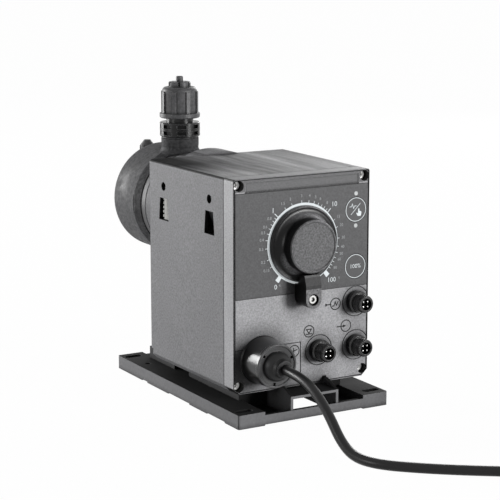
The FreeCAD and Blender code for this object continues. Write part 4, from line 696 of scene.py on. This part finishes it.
# %% Helpers for Geometry Nodes
def rule_tree(name, inputs):
    tree = bpy.data.node_groups.new(name, "GeometryNodeTree")
    tree.interface.new_socket("Geometry", in_out="INPUT", socket_type="NodeSocketGeometry")
    for title, kind in inputs:
        tree.interface.new_socket(title, in_out="INPUT", socket_type=kind)
    tree.interface.new_socket("Geometry", in_out="OUTPUT", socket_type="NodeSocketGeometry")
    return tree, tree.nodes.new("NodeGroupInput"), tree.nodes.new("NodeGroupOutput")


def close_tree(tree, given, result, shape):
    """The end of every tree: real copies, with their material."""
    real = add(tree, "GeometryNodeRealizeInstances")
    paint = add(tree, "GeometryNodeSetMaterial")
    wire(tree, shape, real.inputs["Geometry"])
    wire(tree, real.outputs[0], paint.inputs["Geometry"])
    wire(tree, given.outputs["Material"], paint.inputs["Material"])
    wire(tree, paint.outputs[0], result.inputs[0])


def grow(name, tree, values, place, body):
    """Runs a tree and keeps its result as a plain mesh in its place."""
    made = bpy.data.objects.new(name, bpy.data.meshes.new(name))
    scene.collection.objects.link(made)
    maker = made.modifiers.new("maker", "NODES")
    maker.node_group = tree
    for item in tree.interface.items_tree:
        if item.in_out == "INPUT" and item.name in values:
            maker[item.identifier] = values[item.name]
    graph = bpy.context.evaluated_depsgraph_get()
    mesh = bpy.data.meshes.new_from_object(made.evaluated_get(graph))
    made.modifiers.remove(maker)
    mesh.transform(place)
    made.data = mesh
    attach(made, body)
    print(name, "faces:", len(mesh.polygons))


# %% [markdown]
# The dial's scale is logarithmic: every factor of ten takes a quarter turn, from 0.1 at the lower
# left over 1 and 10 to 100 at the lower right. The tree turns a tick's number into its value, and
# the value's logarithm into its angle.

# %% The tree for the scale's ticks
ticks, given, result = rule_tree("scale_ticks", [
    ("Count", "NodeSocketInt"), ("First", FLOAT), ("Stride", FLOAT), ("Decade", FLOAT), ("Radius", FLOAT),
    ("Length", FLOAT), ("Width", FLOAT), ("Thickness", FLOAT), ("Material", "NodeSocketMaterial")])
number = calculate(ticks, "MULTIPLY_ADD", add(ticks, "GeometryNodeInputIndex").outputs[0],
                   given.outputs["Stride"], given.outputs["First"])
digit = calculate(ticks, "ADD", calculate(ticks, "FLOORED_MODULO", number, 9.0), 1.0)
decade = calculate(ticks, "FLOOR", calculate(ticks, "DIVIDE", number, 9.0))
from_top = calculate(ticks, "ADD", calculate(ticks, "LOGARITHM", digit, 10.0),
                     calculate(ticks, "SUBTRACT", decade, 1.5))
angle = calculate(ticks, "MULTIPLY", from_top, given.outputs["Decade"])
turned = add(ticks, "ShaderNodeCombineXYZ")
wire(ticks, angle, turned.inputs["Y"])
size = add(ticks, "ShaderNodeCombineXYZ")
wire(ticks, given.outputs["Width"], size.inputs["X"])
wire(ticks, given.outputs["Thickness"], size.inputs["Y"])
wire(ticks, given.outputs["Length"], size.inputs["Z"])
bar = add(ticks, "GeometryNodeMeshCube")
wire(ticks, size.outputs[0], bar.inputs["Size"])
reach = add(ticks, "ShaderNodeCombineXYZ")
wire(ticks, calculate(ticks, "MULTIPLY_ADD", given.outputs["Length"], 0.5, given.outputs["Radius"]),
     reach.inputs["Z"])
moved = add(ticks, "GeometryNodeSetPosition")
wire(ticks, bar.outputs[0], moved.inputs["Geometry"])
wire(ticks, reach.outputs[0], moved.inputs["Offset"])
points = add(ticks, "GeometryNodePoints")
wire(ticks, given.outputs["Count"], points.inputs["Count"])
copies = add(ticks, "GeometryNodeInstanceOnPoints")
wire(ticks, points.outputs[0], copies.inputs["Points"])
wire(ticks, moved.outputs[0], copies.inputs["Instance"])
wire(ticks, turned.outputs[0], copies.inputs["Rotation"])
close_tree(ticks, given, result, copies.outputs[0])
print("nodes in the tree:", len(ticks.nodes))

# %% [markdown]
# Now the whole dial: fine ticks, long ones at 1 and 10, short ones at 0.15, 1.5 and 15, the white
# ring, the two end blocks and the figures. The figures 0, 1, 10 and 100 are large and white, and the
# others small and grey.

# %% The dial's print
RING = (26.9, 28.7)
END_BLOCK = (28.5, 32.6)
BLOCK_ANGLE, BLOCK_HALF = 140, 3
SHORT_TICK = (28.6, 30.2)
SMALL_RADIUS, SMALL_SIZE = 33.6, 2.9
LABEL_RAISED = (LABEL_Y - PROUD - LIFT, LABEL_Y + SUNK)


def dial_angle(value):
    """Degrees clockwise from the top, a quarter turn for a factor of ten."""
    return 90 * (math.log10(value) - 0.5)


def polar(radius, angle):
    """A point on the dial, clockwise from the top."""
    a = math.radians(angle)
    return radius * math.sin(a), DIAL_Z + radius * math.cos(a)


on_dial = Matrix.Translation(mm(0, LABEL_Y - LIFT, DIAL_Z))
scale = {"Count": 26, "First": 1.0, "Stride": 1.0, "Decade": math.pi / 2, "Radius": mm(28.4),
         "Length": mm(2.0), "Width": mm(0.38), "Thickness": mm(0.03), "Material": print_white}
grow("fine_ticks", ticks, scale, on_dial, "pump")
scale |= {"Count": 2, "First": 9.0, "Stride": 9.0, "Length": mm(3.9), "Width": mm(0.55),
          "Thickness": mm(0.04)}
grow("long_ticks", ticks, scale, on_dial, "pump")

marks = bmesh.new()
band(marks, 0, DIAL_Z, *RING, 0, 360, *ON_LABEL)
for end in (-BLOCK_ANGLE, BLOCK_ANGLE):
    band(marks, 0, DIAL_Z, *END_BLOCK, end - BLOCK_HALF, end + BLOCK_HALF, *LABEL_RAISED)
for value in (0.15, 1.5, 15):
    stroke(marks, [polar(radius, dial_angle(value)) for radius in SHORT_TICK], 0.35, *ON_LABEL)
for text, radius, turn, size in (("1", 34.8, -44, 5.2), ("10", 36.3, 45.2, 4.9), ("0", 36.2, -142.8, 4.8),
                                 ("100", 37.2, 139.7, 4.8)):
    words(marks, text, size, *polar(radius, turn), *ON_LABEL)
piece("dial_ring_print", marks, print_white, "pump")

marks = bmesh.new()
for value in (0.15, 0.2, 0.3, 0.4, 0.5, 0.6, 0.8, 1.5, 2, 3, 4, 5, 6, 8, 15, 20, 30, 40, 50, 60, 80):
    words(marks, f"{value:g}", SMALL_SIZE, *polar(SMALL_RADIUS, dial_angle(value)), *ON_LABEL)
for x, z in ((-18.6, 92.9), (30.4, 93.4)):
    words(marks, "%", 2.0, x, z, *ON_LABEL)
piece("dial_figures", marks, print_grey, "pump")

# %% [markdown]
# The two film keys carry a pale circle each. One starts and stops the pump and shows a pulse and a
# pointing hand, the other runs it at its full rate. Their print rides on the keys themselves, so it
# goes in with them.

# %% The keys' print
KEY_CIRCLE = (8.1, 8.6)
PULSE = [(-5.2, 2.2), (-3.8, 2.2), (-3.0, 4.2), (-2.0, 0.8), (-1.2, 2.6), (0.2, 2.6)]
SLASH = [(-4.0, -3.4), (3.6, 4.2)]
HAND = [(-0.5, 2.6), (0.0, 2.9), (0.5, 2.6), (0.6, 0.9), (1.1, 1.0), (1.5, 0.7), (1.9, 0.7), (2.2, 0.3),
        (2.2, -0.9), (1.7, -2.6), (-0.9, -2.6), (-2.1, -0.5), (-1.7, 0.0), (-0.6, -0.8)]


def shifted(points, x, z):
    return [(x + px, z + pz) for px, pz in points]


x, z = KEYS["start_key"]
marks = bmesh.new()
band(marks, x, z, *KEY_CIRCLE, 0, 360, *ON_LABEL)
stroke(marks, shifted(PULSE, x, z), 0.45, *ON_LABEL)
stroke(marks, shifted(SLASH, x, z), 0.4, *ON_LABEL)
flat_shape(marks, shifted(HAND, x + 2.4, z - 2.2), *LABEL_RAISED)
piece("start_key_print", marks, print_white, "start_key")
x, z = KEYS["rate_key"]
marks = bmesh.new()
band(marks, x, z, *KEY_CIRCLE, 0, 360, *ON_LABEL)
words(marks, "100%", 4.3, x, z, *ON_LABEL)
piece("rate_key_print", marks, print_white, "rate_key")

# %% [markdown]
# Four round dark signs on the lower panel tell what plugs in where: a control signal, a level
# switch, an alarm and the mains. Each is a ring round a few strokes, drawn about its own centre.

# %% Signs on the lower panel
SIGN_CIRCLE = (3.75, 4.5)
SIGN_LINE = 0.72
PANEL_RAISED = (PANEL_Y - PROUD - LIFT, PANEL_Y + SUNK)
# each sign as its place, its strokes and its filled shapes
CONTROL = ((27.6, 74.7), [[(-2.6, -1.4), (-1.2, -1.4), (-0.2, 1.6), (0.8, -1.2), (2.2, 1.4)],
                          [(-8.2, 0), (-3.8, 0)]], [[(-8.4, 1.1), (-6.2, 0), (-8.4, -1.1)]])
LEVEL = ((36.6, 57.7), [[(-7.4, 0), (-2.0, 0)]], [[(-2.4, 1.2), (0.2, 0), (-2.4, -1.2)]])
ALARM = ((5.6, 57.4), [[(-2.0, 1.4), (2.0, 1.4), (0, -1.6), (-2.0, 1.4)], [(-2.2, -2.0), (2.2, -2.0)]], [])
MAINS = ((-6.6, 44.6), [[(-2.4, -0.4), (2.4, 0.8)], [(-0.4, 2.0), (-0.4, -1.6)]], [])
marks = bmesh.new()
for (x, z), strokes, shapes in (CONTROL, LEVEL, ALARM, MAINS):
    band(marks, x, z, *SIGN_CIRCLE, 0, 360, *ON_PANEL)
    for points in strokes:
        stroke(marks, shifted(points, x, z), SIGN_LINE, *ON_PANEL)
    for points in shapes:
        flat_shape(marks, shifted(points, x, z), *PANEL_RAISED)
piece("panel_signs", marks, print_black, "pump")

# %% [markdown]
# A thread is one ridge wound into a helix. The tree sweeps a small three-sided profile along a
# spiral, and the same tree serves all three connectors.

# %% The connectors' threads
thread, given, result = rule_tree("screw_thread", [
    ("Turns", FLOAT), ("Radius", FLOAT), ("Reach", FLOAT), ("Ridge", FLOAT),
    ("Material", "NodeSocketMaterial")])
spiral = add(thread, "GeometryNodeCurveSpiral", Resolution=40)
wire(thread, given.outputs["Turns"], spiral.inputs["Rotations"])
wire(thread, given.outputs["Radius"], spiral.inputs["Start Radius"])
wire(thread, given.outputs["Radius"], spiral.inputs["End Radius"])
wire(thread, given.outputs["Reach"], spiral.inputs["Height"])
ridge = add(thread, "GeometryNodeCurvePrimitiveCircle", Resolution=3)
wire(thread, given.outputs["Ridge"], ridge.inputs["Radius"])
swept = add(thread, "GeometryNodeCurveToMesh", Fill_Caps=True)
wire(thread, spiral.outputs[0], swept.inputs["Curve"])
wire(thread, ridge.outputs[0], swept.inputs["Profile Curve"])
close_tree(thread, given, result, swept.outputs[0])
THREAD_START = 5.9
helix = {"Turns": 7.5, "Radius": mm(5.95), "Reach": mm(7.5), "Ridge": mm(0.32),
         "Material": materials["connector"]}
for number, (x, z) in enumerate(PLUGS, 1):
    place = Matrix.Translation(mm(x, PANEL_Y - THREAD_START, z)) @ Matrix.Rotation(math.pi / 2, 4, "X")
    grow(f"plug_thread_{number}", thread, helix, place, "pump")

# %% [markdown]
# The mains plug is held by its two flats, and each has a row of raised ribs. A short tree sets
# bars in a row; the same tree makes the teeth of the wire connector inside the housing.

# %% Rows of bars
ribs, given, result = rule_tree("bar_row", [
    ("Count", "NodeSocketInt"), ("Step", VECTOR), ("Size", VECTOR), ("Material", "NodeSocketMaterial")])
line = add(ribs, "GeometryNodeMeshLine")
wire(ribs, given.outputs["Count"], line.inputs["Count"])
wire(ribs, given.outputs["Step"], line.inputs["Offset"])
bar = add(ribs, "GeometryNodeMeshCube")
wire(ribs, given.outputs["Size"], bar.inputs["Size"])
copies = add(ribs, "GeometryNodeInstanceOnPoints")
wire(ribs, line.outputs[0], copies.inputs["Points"])
wire(ribs, bar.outputs[0], copies.inputs["Instance"])
close_tree(ribs, given, result, copies.outputs[0])
FIRST_RIB = 27.5
FLAT_HEIGHT = 9.6
low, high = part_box("mains_plug")
middle = (low + high) / 2
grip = {"Count": 6, "Step": mm(0, 2.4, 0), "Size": mm(13, 1.2, 1.2), "Material": materials["rubber"]}
for side, name in ((1, "upper_grip_ribs"), (-1, "lower_grip_ribs")):
    start = Matrix.Translation((middle.x, low.y + mm(FIRST_RIB), middle.z + side * mm(FLAT_HEIGHT)))
    grow(name, ribs, grip, start, "pump")

# %% [markdown]
# Behind the rear keyhole of the left side stands the white wire connector of the motor. A dark
# holder seats it on the rear wall, and only the connector's edge and its comb of teeth can be seen
# from outside. A faint glow stands in for the daylight that the lamps don't bring through so small
# a hole.

# %% The connector inside the housing
def block(marks, place, size):
    """A rectangular block, centred on its place."""
    bmesh.ops.create_cube(marks, size=1.0,
                          matrix=Matrix.Translation(mm(*place)) @ Matrix.Diagonal((*mm(*size), 1.0)))


marks = bmesh.new()
block(marks, (-47.0, 37.8, 136.0), (5.0, 6.2, 25.0))
piece("connector_holder", marks, materials["rubber"], "pump")
marks = bmesh.new()
block(marks, (-47.0, 32.6, 136.0), (7.0, 4.4, 27.0))
bmesh.ops.bevel(marks, geom=marks.edges[:], offset=mm(0.5), segments=2, affect="EDGES")
piece("motor_connector", marks, white_comb, "pump")
teeth = {"Count": 8, "Step": mm(0, 0, 3.2), "Size": mm(5.4, 1.8, 1.7), "Material": white_comb}
grow("connector_teeth", ribs, teeth, Matrix.Translation(mm(-48.0, 35.0, 125.0)), "pump")

# %% [markdown]
# The coil of the cord is held by two ties, each a flat band that goes round all its turns.

# %% Ties of the coil
HALF_WIDTH, THICKNESS = 3.0, 0.5
TIE_INNER, TIE_OUTER, TIE_TOP, TIE_CORNER = 30.2, 44.5, 20.7, 3.2


def tie(name, angle):
    """A band with rounded corners round the coil's turns, turned about the coil's centre."""
    far, near, top = TIE_OUTER - TIE_CORNER, TIE_INNER + TIE_CORNER, TIE_TOP - TIE_CORNER
    section = ((TIE_CORNER - THICKNESS, -HALF_WIDTH), (TIE_CORNER, -HALF_WIDTH), (TIE_CORNER, HALF_WIDTH),
               (TIE_CORNER - THICKNESS, HALF_WIDTH))
    marks = bmesh.new()
    rows = []
    for cx, cz, first in ((far, TIE_CORNER, -90), (far, top, 0), (near, top, 90), (near, TIE_CORNER, 180)):
        for k in range(5):
            a = math.radians(first + 22.5 * k)
            rows.append([marks.verts.new(mm(cx + r * math.cos(a), side, cz + r * math.sin(a)))
                         for r, side in section])
    for a, b in zip(rows, rows[1:] + rows[:1]):
        for k in range(4):
            marks.faces.new((a[k], a[(k + 1) % 4], b[(k + 1) % 4], b[k]))
    place = Matrix.Translation(mm(*COIL_CENTRE, 0)) @ Matrix.Rotation(math.radians(angle), 4, "Z")
    bmesh.ops.transform(marks, matrix=place, verts=marks.verts)
    piece(name, marks, materials["rubber"], "pump")


tie("coil_tie_left", 160)
tie("coil_tie_right", 20)
print("ties:", 2)
